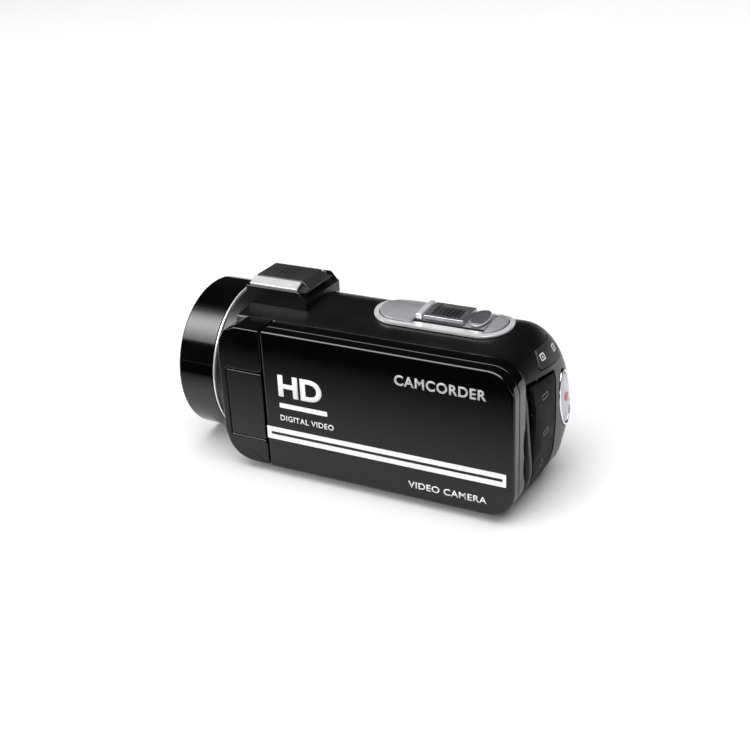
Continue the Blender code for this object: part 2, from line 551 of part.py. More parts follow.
rings = [door_loop(1.5, DOOR_XM + 0.15), door_loop(0.0, DOOR_XM + 0.15), door_loop(0.0, 28.6), door_loop(0.35, 29.5), door_loop(1.0, DOOR_X1),
         ]
inner = [door_loop(1.5, 28.7)]
v, f = loft([door_loop(1.0, DOOR_X1), door_loop(0.35, 29.5), door_loop(0.0, 28.6), door_loop(0.0, DOOR_XM + 0.15),
             door_loop(1.5, DOOR_XM + 0.15), door_loop(1.5, 28.7)])
outer_cover = make("screen_outer_cover", v, f, "gloss_black", origin=(DOOR_XM, 14, 0))
WIN = ((-14.5, -19.5), (53.4, 19.5))
win_hole = rounded(WIN[0], WIN[1], [1.0] * 4, 6)
v, f = loft([door_loop(1.0, DOOR_XM - 0.15), door_loop(0.0, DOOR_XM - 0.15), door_loop(0.0, 21.4), door_loop(0.6, DOOR_X0),
             [(DOOR_X0, p[0], p[1]) for p in win_hole], [(22.4, p[0], p[1]) for p in win_hole],
             door_loop(1.6, 22.4), door_loop(1.6, DOOR_XM - 0.15)], close=False, cap0=False, cap1=False)
n = len(win_hole)
m = len(v) // n
f += [((m - 1) * n + i, (m - 1) * n + (i + 1) % n, (i + 1) % n, i) for i in range(n)]
frame = make("screen_inner_frame", v, f, "satin_black", origin=(DOOR_XM, 14, 0))
boolean(frame, prism("cut_frame_shaft", circle(TILT[0], TILT[1], 2.1, 20), -35, -23, 'Y', cutter=True))


def ball(name, centre, radii, n=16, m=8):
    vs, fs = [(centre[0], centre[1], centre[2] - radii[2])], []
    for k in range(1, m):
        a = math.pi * k / m
        for i in range(n):
            t = 2 * math.pi * i / n
            vs.append((centre[0] + radii[0] * math.sin(a) * math.cos(t), centre[1] + radii[1] * math.sin(a) * math.sin(t), centre[2] - radii[2] * math.cos(a)))
    vs.append((centre[0], centre[1], centre[2] + radii[2]))
    top = len(vs) - 1
    for i in range(n):
        j = (i + 1) % n
        fs.append((0, 1 + j, 1 + i))
        for k in range(m - 2):
            a, b = 1 + k * n, 1 + (k + 1) * n
            fs.append((a + i, a + j, b + j, b + i))
        fs.append((1 + (m - 2) * n + i, 1 + (m - 2) * n + j, top))
    return make(name, vs, fs, cutter=True)


boolean(frame, ball("cut_thumb_notch", (20.0, 56.4, -1.5), (2.8, 1.6, 6.2)))
prism("screen_glass", rounded((WIN[0][0] + 0.3, WIN[0][1] + 0.3), (WIN[1][0] - 0.3, WIN[1][1] - 0.3), [0.8] * 4, 3), 20.9, 22.1, 'X', "glass", origin=(DOOR_XM, 14, 0))
block("screen_backlight", (22.75, -15.0, -18.5), (25.3, 50.0, 18.5), "white", origin=(DOOR_XM, 14, 0))

# ---------------------------------------------------------------- hand strap on the right
LUGS = ((-35.5, "front"), (38.5, "rear"))
for y, tag in LUGS:
    lug = [(-25.65, y - 3.2), (-25.65, y + 3.2), (-30.6, y + 2.4), (-30.6, y - 2.4)]
    obj = prism("strap_lug_" + tag, lug, STRAP_Z0 + 1.0, STRAP_Z1 - 1.0, 'Z', "satin_black")
    boolean(obj, block("cut_lug_" + tag, (-29.6, y - 5, STRAP_Z0 + 3.0), (-27.6, y + 5, STRAP_Z1 - 3.0), cutter=True))


def strap_path(t):
    """Centre line of the strap from the front lug (t = 0) to the rear lug (t = 1), as x, y."""
    y = -41.5 + 86.0 * t
    s = math.sin(math.pi * min(max((t - 0.11) / 0.78, 0.0), 1.0))
    return -28.6 - 9.0 * s ** 0.7, y


def strap(name, t0, t1, off, thick, z0, z1, kind, steps, taper=0.0):
    pts = [strap_path(t0 + (t1 - t0) * i / steps) for i in range(steps + 1)]
    rings = []
    for i, (x, y) in enumerate(pts):
        a, b = pts[max(i - 1, 0)], pts[min(i + 1, steps)]
        d = Vector((b[0] - a[0], b[1] - a[1])).normalized()
        nx, ny = d.y, -d.x
        k = taper * abs(2 * i / steps - 1) ** 3
        rings.append([(x + nx * o, y + ny * o, z) for o, z in ((off, z0 + k), (off + thick, z0 + k), (off + thick, z1 - k), (off, z1 - k))])
    v, f = loft(rings)
    return make(name, v, f, kind)


strap("strap_band", 0.065, 0.935, -0.6, 1.2, STRAP_Z0 + 3.4, STRAP_Z1 - 3.4, "fabric", 20)
strap("strap_pad", 0.2, 0.8, 0.9, 2.6, STRAP_Z0, STRAP_Z1, "fabric", 12, taper=3.0)
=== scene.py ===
"""Looks of the camcorder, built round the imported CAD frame.

Millimetre helper frame: lens axis along Y through x = 0, z = 0, lens towards -Y, screen on +X.
W() turns a millimetre point into the row frame, in metres.
"""
import bpy
import bmesh
import json
import math
from mathutils import Matrix, Vector
from mathutils.bvhtree import BVHTree


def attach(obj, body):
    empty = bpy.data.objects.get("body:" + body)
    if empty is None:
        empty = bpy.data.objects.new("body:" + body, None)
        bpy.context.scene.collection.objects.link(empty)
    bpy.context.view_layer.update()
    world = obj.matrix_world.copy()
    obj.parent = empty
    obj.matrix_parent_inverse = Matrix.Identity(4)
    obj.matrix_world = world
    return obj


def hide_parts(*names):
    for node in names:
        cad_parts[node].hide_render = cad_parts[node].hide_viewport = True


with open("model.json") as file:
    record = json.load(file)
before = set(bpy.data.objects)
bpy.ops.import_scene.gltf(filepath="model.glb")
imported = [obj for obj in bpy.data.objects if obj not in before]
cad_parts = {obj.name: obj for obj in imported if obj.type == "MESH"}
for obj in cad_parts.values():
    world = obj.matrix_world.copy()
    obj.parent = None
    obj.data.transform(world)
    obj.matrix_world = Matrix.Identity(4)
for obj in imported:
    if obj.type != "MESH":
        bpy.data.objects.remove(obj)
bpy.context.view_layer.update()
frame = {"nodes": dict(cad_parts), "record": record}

NODES = frame["nodes"]
SLOT_OF = {s["node"]: s["material_slot"] for s in frame["record"]["subparts"]}
BODY_OF = {n: b for b, ns in frame["record"]["behaviour"]["bodies"].items() for n in ns}

BODY_R, BAY_X, TOP_Z, BASE_Z, WALL = 25.3, 20.0, 23.6, -25.5, 1.8
Y_FRONT, Y_DOME, DOME_RY, DOME_RI, DOME_SHEAR = -42.0, 43.57, 14.0, 16.1, 0.08
RING_R, RING_Y0, RING_Y1 = 25.3, -63.7, -50.3
DOOR_X0, DOOR_XM, DOOR_X1 = 20.6, 26.0, 30.0
DOOR_Y0, DOOR_Y1, DOOR_Z0, DOOR_Z1, DOOR_R = -27.6, 56.0, -23.0, 24.3, 8.5
PIVOT, PIN_R, TILT = (28.0, -39.0), 1.2, (23.4, -2.0)
SHOE_Y0, SHOE_Y1 = -43.0, -25.6
CAP_Y0, CAP_Y1, CAP_U = -1.0, 44.5, 9.3
CAP_SIDE = 2.0
PLATE_R0, PLATE_R1 = 25.65, 26.3
TOP_LEAN = math.radians(5.5)
REC = (-8.5, 0.3)
STRAP_Z0, STRAP_Z1 = -17.0, 6.5
SHIFT = (4.1, 2.461, 25.5)

scene = bpy.context.scene


def W(p):
    return Vector(((p[0] + SHIFT[0]) / 1000, (p[1] + SHIFT[1]) / 1000, (p[2] + SHIFT[2]) / 1000))


# ================================================================ materials
class Mat:
    """A node material with colour variation, roughness variation and layered bumps."""

    def __init__(self, name, shade):
        self.m = bpy.data.materials.new(name)
        self.m.use_nodes = True
        self.m.diffuse_color = (*shade, 1)
        self.nt = self.m.node_tree
        self.b = self.nt.nodes["Principled BSDF"]
        self.b.inputs["Base Color"].default_value = (*shade, 1)
        self.coord = self.nt.nodes.new("ShaderNodeTexCoord")
        self.normal = None

    def put(self, **kw):
        for k, v in kw.items():
            name = k.replace("_", " ").title().replace("Ior", "IOR")
            self.b.inputs[name].default_value = v
        return self

    def vec(self, stretch=None, rot=None):
        if stretch is None and rot is None:
            return self.coord.outputs["Object"]
        n = self.nt.nodes.new("ShaderNodeMapping")
        if stretch:
            n.inputs["Scale"].default_value = stretch
        if rot:
            n.inputs["Rotation"].default_value = rot
        self.nt.links.new(self.coord.outputs["Object"], n.inputs["Vector"])
        return n.outputs["Vector"]

    def noise(self, scale, detail=3.0, stretch=None, rough=0.55):
        n = self.nt.nodes.new("ShaderNodeTexNoise")
        n.inputs["Scale"].default_value = scale
        n.inputs["Detail"].default_value = detail
        n.inputs["Roughness"].default_value = rough
        self.nt.links.new(self.vec(stretch), n.inputs["Vector"])
        return n.outputs["Fac"]

    def voronoi(self, scale, stretch=None, feature='F1'):
        n = self.nt.nodes.new("ShaderNodeTexVoronoi")
        n.feature = feature
        n.inputs["Scale"].default_value = scale
        self.nt.links.new(self.vec(stretch), n.inputs["Vector"])
        return n.outputs["Distance"]

    def wave(self, scale, direction='X', distortion=0.0, detail=0.0, kind='BANDS', stretch=None, rot=None, profile='SIN'):
        n = self.nt.nodes.new("ShaderNodeTexWave")
        n.wave_type = kind
        if kind == 'BANDS':
            n.bands_direction = direction
        else:
            n.rings_direction = direction
        n.wave_profile = profile
        n.inputs["Scale"].default_value = scale
        n.inputs["Distortion"].default_value = distortion
        n.inputs["Detail"].default_value = detail
        self.nt.links.new(self.vec(stretch, rot), n.inputs["Vector"])
        return n.outputs["Fac"]

    def math(self, op, a, b):
        n = self.nt.nodes.new("ShaderNodeMath")
        n.operation = op
        for i, v in enumerate((a, b)):
            if isinstance(v, (int, float)):
                n.inputs[i].default_value = v
            else:
                self.nt.links.new(v, n.inputs[i])
        return n.outputs[0]

    def span(self, fac, lo, hi, f0=0.3, f1=0.7):
        n = self.nt.nodes.new("ShaderNodeMapRange")
        n.inputs["From Min"].default_value = f0
        n.inputs["From Max"].default_value = f1
        n.inputs["To Min"].default_value = lo
        n.inputs["To Max"].default_value = hi
        self.nt.links.new(fac, n.inputs["Value"])
        return n.outputs["Result"]

    def colour(self, fac, *stops):
        n = self.nt.nodes.new("ShaderNodeValToRGB")
        ramp = n.color_ramp
        while len(ramp.elements) < len(stops):
            ramp.elements.new(0.5)
        for e, (pos, col) in zip(ramp.elements, stops):
            e.position = pos
            e.color = (*col, 1)
        self.nt.links.new(fac, n.inputs["Fac"])
        self.nt.links.new(n.outputs["Color"], self.b.inputs["Base Color"])
        return n.outputs["Color"]

    def tint(self, lo, hi, scale=140, detail=4.0, stretch=None):
        self.colour(self.noise(scale, detail, stretch), (0.32, lo), (0.68, hi))
        return self

    def rough(self, lo, hi, scale=70, detail=5.0, stretch=None):
        self.nt.links.new(self.span(self.noise(scale, detail, stretch), lo, hi), self.b.inputs["Roughness"])
        return self

    def bump(self, height, strength, distance=0.0001):
        n = self.nt.nodes.new("ShaderNodeBump")
        n.inputs["Strength"].default_value = strength
        n.inputs["Distance"].default_value = distance
        self.nt.links.new(height, n.inputs["Height"])
        if self.normal is not None:
            self.nt.links.new(self.normal, n.inputs["Normal"])
        self.normal = n.outputs["Normal"]
        self.nt.links.new(self.normal, self.b.inputs["Normal"])
        return self


def gloss(name, lo, hi, peel=0.03):
    m = Mat(name, hi).put(specular_ior_level=0.42)
    m.tint(lo, hi, 90)
    m.rough(0.05, 0.1, 45)
    m.bump(m.noise(190, 1.0), peel, 0.00004)
    m.bump(m.noise(2600, 2.0, (1, 0.05, 1)), 0.01, 0.00002)
    return m.m


def moulded(name, lo, hi, r0, r1, grain=0.16, scale=5200):
    """Moulded plastic with a fine spark-eroded grain."""
    m = Mat(name, hi).put(specular_ior_level=0.45)
    m.tint(lo, hi, 110)
    m.rough(r0, r1, 85)
    m.bump(m.noise(scale, 2.0), grain, 0.00005)
    m.bump(m.voronoi(scale * 0.45), grain * 0.5, 0.00004)
    return m.m


def plated(name, lo, hi, r0, r1, brushed=None):
    m = Mat(name, hi).put(metallic=1.0)
    m.tint(lo, hi, 160)
    m.rough(r0, r1, 120, 5.0)
    if brushed:
        m.bump(m.noise(900, 3.0, brushed), 0.12, 0.00003)
    else:
        m.bump(m.noise(400, 2.0), 0.02, 0.00003)
    return m.m


M = {
    "gloss_black": gloss("gloss_black_plastic", (0.0008, 0.0008, 0.0009), (0.0016, 0.0016, 0.0017)),
    "satin_black": moulded("satin_black_plastic", (0.0018, 0.0018, 0.002), (0.0036, 0.0036, 0.0038), 0.3, 0.42, 0.08),
    "dark_grey": moulded("dark_grey_plastic", (0.013, 0.013, 0.014), (0.021, 0.021, 0.022), 0.42, 0.56),
    "chrome": plated("chrome_plating", (0.74, 0.75, 0.77), (0.86, 0.87, 0.88), 0.05, 0.13),
    "steel": plated("turned_steel", (0.42, 0.42, 0.43), (0.56, 0.56, 0.57), 0.26, 0.4, (1, 14, 14)),
    "brass": plated("turned_brass", (0.6, 0.42, 0.15), (0.76, 0.56, 0.25), 0.2, 0.34, (1, 1, 16)),
}

m = Mat("satin_silver_paint", (0.5, 0.51, 0.53)).put(metallic=0.55, specular_ior_level=0.5, coat_weight=0.15, coat_roughness=0.2)
m.tint((0.44, 0.445, 0.46), (0.56, 0.565, 0.58), 130)
m.rough(0.24, 0.36, 100)
m.bump(m.voronoi(4200), 0.08, 0.00003)
m.bump(m.noise(7000, 2.0), 0.08, 0.00002)
M["satin_silver"] = m.m

m = Mat("smoked_satin_silver_paint", (0.36, 0.365, 0.38)).put(metallic=0.4, specular_ior_level=0.5, coat_weight=0.2, coat_roughness=0.15)
m.tint((0.32, 0.325, 0.34), (0.4, 0.405, 0.42), 130)
m.rough(0.26, 0.36, 100)
m.bump(m.voronoi(4200), 0.08, 0.00003)
m.bump(m.noise(7000, 2.0), 0.08, 0.00002)
M["cap_grey"] = m.m

m = Mat("smoked_plating", (0.3, 0.305, 0.32)).put(metallic=0.75, specular_ior_level=0.5, coat_weight=0.2, coat_roughness=0.1)
m.tint((0.25, 0.255, 0.27), (0.34, 0.345, 0.36), 150)
m.rough(0.14, 0.24, 110)
m.bump(m.noise(900, 3.0, (0.1, 1, 1)), 0.06, 0.00002)
M["smoked_metal"] = m.m

m = Mat("silver_print_ink", (0.42, 0.42, 0.42)).put(specular_ior_level=0.4)
m.tint((0.36, 0.36, 0.36), (0.46, 0.46, 0.46), 900)
m.rough(0.3, 0.48, 500)
m.bump(m.noise(6000, 2.0), 0.12, 0.00002)
INK_SILVER = m.m

m = Mat("bright_satin_plating", (0.8, 0.81, 0.82)).put(metallic=0.45, specular_ior_level=0.6, coat_weight=0.2, coat_roughness=0.15)
m.tint((0.74, 0.75, 0.76), (0.84, 0.845, 0.85), 150)
m.rough(0.16, 0.26, 110)
m.bump(m.noise(900, 3.0, (1, 0.1, 1)), 0.05, 0.00002)
M["plate_metal"] = m.m

m = Mat("rubber_flap", (0.005, 0.005, 0.005)).put(specular_ior_level=0.14)
m.tint((0.0016, 0.0016, 0.0017), (0.0034, 0.0034, 0.0035), 170)
m.rough(0.55, 0.72, 90)
m.bump(m.noise(4200, 3.0), 0.3, 0.00006)
m.bump(m.voronoi(2400), 0.15, 0.00005)
M["rubber"] = m.m

m = Mat("pearl_grey_plastic", (0.52, 0.52, 0.6)).put(specular_ior_level=0.5, coat_weight=0.5, coat_roughness=0.08, metallic=0.15)
m.tint((0.46, 0.46, 0.54), (0.57, 0.57, 0.64), 220)
m.rough(0.2, 0.3, 120)
m.bump(m.voronoi(6000), 0.06, 0.00002)
M["pearl_grey"] = m.m

m = Mat("red_ink", (0.6, 0.02, 0.015)).put(specular_ior_level=0.5, coat_weight=0.3, coat_roughness=0.1)
m.tint((0.5, 0.012, 0.01), (0.68, 0.03, 0.02), 800)
m.rough(0.28, 0.4, 300)
m.bump(m.noise(3000, 2.0), 0.05, 0.00002)
RED = m.m

m = Mat("white_print_ink", (0.8, 0.8, 0.8)).put(specular_ior_level=0.4)
m.tint((0.72, 0.725, 0.73), (0.86, 0.86, 0.86), 900)
m.rough(0.3, 0.48, 500)
m.bump(m.noise(6000, 2.0), 0.12, 0.00002)
INK = m.m

m = Mat("grey_print_ink", (0.05, 0.05, 0.052)).put(specular_ior_level=0.4)
m.tint((0.035, 0.035, 0.036), (0.06, 0.06, 0.062), 900)
m.rough(0.35, 0.5, 500)
m.bump(m.noise(6000, 2.0), 0.12, 0.00002)
INK_GREY = m.m

m = Mat("bright_inlay_foil", (0.86, 0.87, 0.88)).put(metallic=0.25, specular_ior_level=0.6, coat_weight=0.4, coat_roughness=0.06)
m.tint((0.8, 0.81, 0.82), (0.9, 0.905, 0.91), 260, 3.0, (1, 0.2, 1))
m.rough(0.16, 0.28, 200, 4.0, (1, 0.15, 1))
m.bump(m.noise(2600, 2.0, (1, 0.03, 1)), 0.06, 0.00002)
FOIL = m.m

m = Mat("backlight_white", (0.75, 0.75, 0.75)).put(specular_ior_level=0.4)
m.tint((0.68, 0.68, 0.69), (0.8, 0.8, 0.8), 300)
m.rough(0.4, 0.5)
M["white_plastic"] = m.m

m = Mat("coated_lens_glass", (0.01, 0.012, 0.018)).put(specular_ior_level=0.7, coat_weight=1.0, coat_roughness=0.01, ior=1.6)
fres = m.nt.nodes.new("ShaderNodeLayerWeight")
fres.inputs["Blend"].default_value = 0.35
m.colour(fres.outputs["Facing"], (0.0, (0.01, 0.012, 0.03)), (0.35, (0.03, 0.008, 0.06)), (0.65, (0.005, 0.035, 0.02)), (1.0, (0.02, 0.02, 0.03)))
m.rough(0.015, 0.03, 60)
m.bump(m.noise(120, 1.0), 0.004, 0.00002)
M["clear_glass"] = m.m

m = Mat("screen_cover_glass", (0.008, 0.008, 0.01)).put(specular_ior_level=0.55, coat_weight=1.0, coat_roughness=0.015)
m.tint((0.006, 0.006, 0.008), (0.011, 0.011, 0.014), 40)
m.rough(0.03, 0.09, 55)
m.bump(m.noise(90, 1.0), 0.01, 0.00002)
M["screen_glass"] = m.m

m = Mat("circuit_board_green", (0.015, 0.12, 0.05)).put(specular_ior_level=0.5, coat_weight=0.4, coat_roughness=0.15)
trace = m.nt.nodes.new("ShaderNodeTexBrick")
trace.inputs["Scale"].default_value = 260
trace.inputs["Color1"].default_value = (0.012, 0.11, 0.045, 1)
trace.inputs["Color2"].default_value = (0.02, 0.15, 0.06, 1)
trace.inputs["Mortar"].default_value = (0.28, 0.26, 0.08, 1)
m.nt.links.new(m.coord.outputs["Object"], trace.inputs["Vector"])
m.nt.links.new(trace.outputs["Color"], m.b.inputs["Base Color"])
m.rough(0.25, 0.4, 300)
m.bump(trace.outputs["Fac"], 0.3, 0.00005)
M["circuit_board"] = m.m


def webbing(name, lo, hi, warp, weft, twist=0.5):
    """Plain weave on the strap: warp runs along Y, weft along Z; periods are in millimetres."""
    m = Mat(name, hi).put(specular_ior_level=0.2, sheen_weight=0.45, sheen_roughness=0.4)
    a = m.wave(0.31416 / (warp / 1000), 'Z', 0.3, 1.0)
    b = m.wave(0.31416 / (weft / 1000), 'Y', 0.3, 1.0)
    both = m.math('MULTIPLY', a, b)
    cross = m.math('MAXIMUM', both, m.math('MULTIPLY', m.math('SUBTRACT', 1.0, a), m.math('SUBTRACT', 1.0, b)))
    shade = m.math('ADD', m.math('MULTIPLY', cross, 0.7), m.math('MULTIPLY', m.noise(900, 4.0), 0.35))
    m.colour(shade, (0.1, lo), (0.85, hi))
    m.rough(0.72, 0.9, 400)
    m.bump(cross, 0.8, 0.00018)
    m.bump(m.noise(9000, 2.0, (1, 0.25, 1)), 0.3, 0.00005)
    return m.m


M["strap_webbing"] = webbing("strap_webbing", (0.006, 0.006, 0.0065), (0.03, 0.03, 0.032), 0.9, 1.3)
M["strap_fabric"] = webbing("strap_pad_fabric", (0.008, 0.008, 0.009), (0.036, 0.036, 0.039), 0.55, 0.55)
m = Mat("binding_tape", (0.02, 0.02, 0.02)).put(specular_ior_level=0.25, sheen_weight=0.3, sheen_roughness=0.4)
m.tint((0.008, 0.008, 0.008), (0.022, 0.022, 0.023), 700)
m.rough(0.6, 0.8, 300)
m.bump(m.wave(0.31416 / 0.0005, 'DIAGONAL', 0.2, 1.0), 0.5, 0.00008)
TAPE = m.m
m = Mat("sewing_thread", (0.08, 0.08, 0.085)).put(specular_ior_level=0.3, sheen_weight=0.4, sheen_roughness=0.4)
m.tint((0.045, 0.045, 0.048), (0.1, 0.1, 0.105), 3000)
m.rough(0.6, 0.8, 600)
m.bump(m.wave(0.31416 / 0.00022, 'DIAGONAL', 0.3, 1.0), 0.5, 0.00005)
THREAD = m.m
# near-black material used below as painted shade in the zoom plate's grooves
m = Mat("painted_groove_shade_black", (0.003, 0.003, 0.003)).put(specular_ior_level=0.15)
m.tint((0.002, 0.002, 0.002), (0.005, 0.005, 0.005), 400)
m.rough(0.7, 0.9, 200)
GROOVE_SHADE = m.m


# ================================================================ mesh helpers
def mesh_obj(name, verts, faces, mat=None, angle=30, merge=1e-7):
    me = bpy.data.meshes.new(name)
    me.from_pydata([W(v) for v in verts], [], faces)
    bm = bmesh.new()
    bm.from_mesh(me)
    bmesh.ops.remove_doubles(bm, verts=bm.verts, dist=merge)
    bmesh.ops.dissolve_degenerate(bm, edges=bm.edges, dist=1e-8)
    bmesh.ops.recalc_face_normals(bm, faces=bm.faces)
    bm.to_mesh(me)
    bm.free()
    obj = bpy.data.objects.new(name, me)
    scene.collection.objects.link(obj)
    if mat is not None:
        me.materials.append(mat)
    me.shade_smooth()
    me.set_sharp_from_angle(angle=math.radians(angle))
    return obj


def settle(obj, angle=30):
    """Applies the modifiers of obj."""
    bpy.context.view_layer.update()
    dg = bpy.context.evaluated_depsgraph_get()
    me = bpy.data.meshes.new_from_object(obj.evaluated_get(dg))
    old = obj.data
    obj.modifiers.clear()
    obj.data = me
    bpy.data.meshes.remove(old)
    me.shade_smooth()
    me.set_sharp_from_angle(angle=math.radians(angle))
    return obj


def cut(obj, cutter, op='DIFFERENCE', solver='EXACT', keep=False, angle=30):
    mod = obj.modifiers.new("cut", 'BOOLEAN')
    mod.object = cutter
    mod.operation = op
    mod.solver = solver
    settle(obj, angle)
    if not keep:
        me = cutter.data
        bpy.data.objects.remove(cutter, do_unlink=True)
        bpy.data.meshes.remove(me)
    return obj


def bevel(obj, width, segments=3, angle=35, shade=30):
    mod = obj.modifiers.new("edge", 'BEVEL')
    mod.width = width / 1000
    mod.segments = segments
    mod.limit_method = 'ANGLE'
    mod.angle_limit = math.radians(angle)
    mod.use_clamp_overlap = True
    return settle(obj, shade)


EVEN = {"front_ring", "chrome_trim_ring", "hinge_cowl", "hinge_block", "screen_outer_cover", "screen_inner_frame", "shoe_pedestal", "shoe_rails", "shoe_cover",
        "zoom_plate_rim", "zoom_plate_inner", "zoom_lever", "battery_door", "rear_key_rocker"}


def even(obj):
    """Lets the large flat faces decide the shading at small roundings."""
    mod = obj.modifiers.new("even", 'WEIGHTED_NORMAL')
    mod.keep_sharp = True
    mod.weight = 80
    bpy.context.view_layer.update()
    dg = bpy.context.evaluated_depsgraph_get()
    me = bpy.data.meshes.new_from_object(obj.evaluated_get(dg))
    old = obj.data
    obj.modifiers.clear()
    obj.data = me
    bpy.data.meshes.remove(old)
    return obj


def piece(obj, node=None, body=None, also=()):
    """obj rides on its body, and stands for a CAD node when one is named."""
    if node in EVEN:
        even(obj)
    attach(obj, body or BODY_OF[node])
    if node:
        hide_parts(node, *also)
    return obj


def loft(rings, cap0=True, cap1=True, close=False):
    n = len(rings[0])
    verts = [p for ring in rings for p in ring]
    faces = []
    last = len(rings) if close else len(rings) - 1
    for k in range(last):
        a, b = k * n, ((k + 1) % len(rings)) * n
        for i in range(n):
            j = (i + 1) % n
            faces.append((a + i, a + j, b + j, b + i))
    if not close:
        for wanted, base in ((cap0, 0), (cap1, (len(rings) - 1) * n)):
            if wanted == 'fan':
                middle = sum((Vector(p) for p in verts[base:base + n]), Vector()) / n
                verts.append(tuple(middle))
                faces += [(base + i, base + (i + 1) % n, len(verts) - 1) for i in range(n)]
            elif wanted:
                faces.append(tuple(range(base, base + n)))
    return verts, faces


def fillet(pts, rad, n=5, support=False):
    """A closed 2-D outline with its corners rounded; rad is one radius or one for each corner."""
    out = []
    N = len(pts)
    for i, p in enumerate(pts):
        r = rad[i] if isinstance(rad, (list, tuple)) else rad
        P, A, B = Vector(p), Vector(pts[i - 1]), Vector(pts[(i + 1) % N])
        u, v = A - P, B - P
        lu, lv = u.length, v.length
        if r <= 0 or lu < 1e-6 or lv < 1e-6:
            out.append(tuple(P))
            continue
        u /= lu
        v /= lv
        phi = math.acos(max(-1.0, min(1.0, u.dot(v))))
        if phi > math.radians(176) or phi < math.radians(2):
            out.append(tuple(P))
            continue
        t = min(r / math.tan(phi / 2), 0.47 * lu, 0.47 * lv)
        r2 = t * math.tan(phi / 2)
        p0, p1 = P + u * t, P + v * t
        C = P + (u + v).normalized() * (r2 / math.sin(phi / 2))
        a0 = math.atan2(p0.y - C.y, p0.x - C.x)
        a1 = math.atan2(p1.y - C.y, p1.x - C.x)
        da = (a1 - a0 + math.pi) % (2 * math.pi) - math.pi
        far = min(0.1, 0.04 * lu, 0.04 * lv)
        before, after = P + u * (t + far), P + v * (t + far)
        if support:
            out.append(tuple(before))
        for k in range(n + 1):
            a = a0 + da * k / n
            out.append((C.x + r2 * math.cos(a), C.y + r2 * math.sin(a)))
        if support:
            out.append(tuple(after))
    return out


def place(a, b, along, centre, axis):
    if axis == 'Y':
        return (centre[0] + a, along, centre[1] + b)
    if axis == 'Z':
        return (centre[0] + a, centre[1] + b, along)
    return (along, centre[0] + a, centre[1] + b)


def lathe(name, profile, mat, centre=(0, 0), segs=160, axis='Y', r=0.0, n=5, angle=30):
    """Turns a closed (radius, along) profile, its corners rounded by r."""
    if r:
        radii = [0 if p[0] == 0 else (r[i] if isinstance(r, (list, tuple)) else r) for i, p in enumerate(profile)]
        profile = fillet(profile, radii, n)
    profile = [(0 if abs(p[0]) < 1e-9 else p[0], p[1]) for p in profile]
    verts, index = [], []
    for rad, y in profile:
        if rad == 0:
            index.append([len(verts)] * segs)
            verts.append(place(0, 0, y, centre, axis))
        else:
            index.append([len(verts) + i for i in range(segs)])
            for i in range(segs):
                t = 2 * math.pi * i / segs
                verts.append(place(rad * math.cos(t), rad * math.sin(t), y, centre, axis))
    faces = []
    for k in range(len(profile)):
        a, b = index[k], index[(k + 1) % len(profile)]
        for i in range(segs):
            j = (i + 1) % segs
            f = []
            for v in (a[i], a[j], b[j], b[i]):
                if v not in f:
                    f.append(v)
            if len(f) > 2:
                faces.append(tuple(f))
    return mesh_obj(name, verts, faces, mat, angle)


def grown(outline, d):
    n = len(outline)
    area = sum(outline[i][0] * outline[(i + 1) % n][1] - outline[(i + 1) % n][0] * outline[i][1] for i in range(n))
    s = 1 if area > 0 else -1
    out = []
    for i in range(n):
        p, q, r = Vector(outline[i - 1]), Vector(outline[i]), Vector(outline[(i + 1) % n])
        e1, e2 = (q - p).normalized(), (r - q).normalized()
        n1, n2 = Vector((e1.y, -e1.x)) * s, Vector((e2.y, -e2.x)) * s
        mm = (n1 + n2).normalized()
        out.append(tuple(q + mm * d / max(mm.dot(n1), 0.4)))
    return out


def soft_prism(name, outline, lo, hi, axis, mat, r=0.3, n=4, r_lo=None, angle=30):
    """Extrudes a closed outline, both rims rounded by r (r_lo for the low end)."""
    def at(p, v):
        return {'Y': (p[0], v, p[1]), 'X': (v, p[0], p[1]), 'Z': (p[0], p[1], v)}[axis]
    r_lo = r if r_lo is None else r_lo
    # each part runs from the flat face (a = 0) to the side (a = 90)
    def shape(rr, base, sign):
        out = []
        steps = n if rr > 0 else 0
        for k in range(steps + 1):
            a = math.pi / 2 * k / max(steps, 1)
            inset = rr * (1 - math.sin(a))
            along = rr * (1 - math.cos(a))
            out.append([at(p, base + sign * along) for p in (grown(outline, -inset) if inset > 1e-9 else outline)])
        return out
    low, high = shape(r_lo, lo, 1), shape(r, hi, -1)
    v, f = loft(low + high[::-1])
    return mesh_obj(name, v, f, mat, angle)


def circle(cx, cy, r, n=64):
    return [(cx + r * math.cos(2 * math.pi * i / n), cy + r * math.sin(2 * math.pi * i / n)) for i in range(n)]


def oval(cx, cz, a, b, n=96):
    return [(cx + a * math.cos(2 * math.pi * i / n), cz + b * math.sin(2 * math.pi * i / n)) for i in range(n)]


def rounded(lo, hi, radii, n=8, inset=0.0):
    (a0, b0), (a1, b1) = (lo[0] + inset, lo[1] + inset), (hi[0] - inset, hi[1] - inset)
    out = []
    for k, (cx, cz) in enumerate(((a0, b0), (a1, b0), (a1, b1), (a0, b1))):
        r = max(radii[k] - inset, 0.25)
        mx = cx + r if cx == a0 else cx - r
        mz = cz + r if cz == b0 else cz - r
        for i in range(n + 1):
            t = math.radians(180 + 90 * k + 90 * i / n)
            out.append((mx + r * math.cos(t), mz + r * math.sin(t)))
    return out


def box_cut(lo, hi):
    return soft_prism("cutter", [(lo[0], lo[1]), (hi[0], lo[1]), (hi[0], hi[1]), (lo[0], hi[1])], lo[2], hi[2], 'Z', None, r=0)


def hole(outline, lo, hi, axis):
    return soft_prism("cutter", outline, lo, hi, axis, None, r=0)


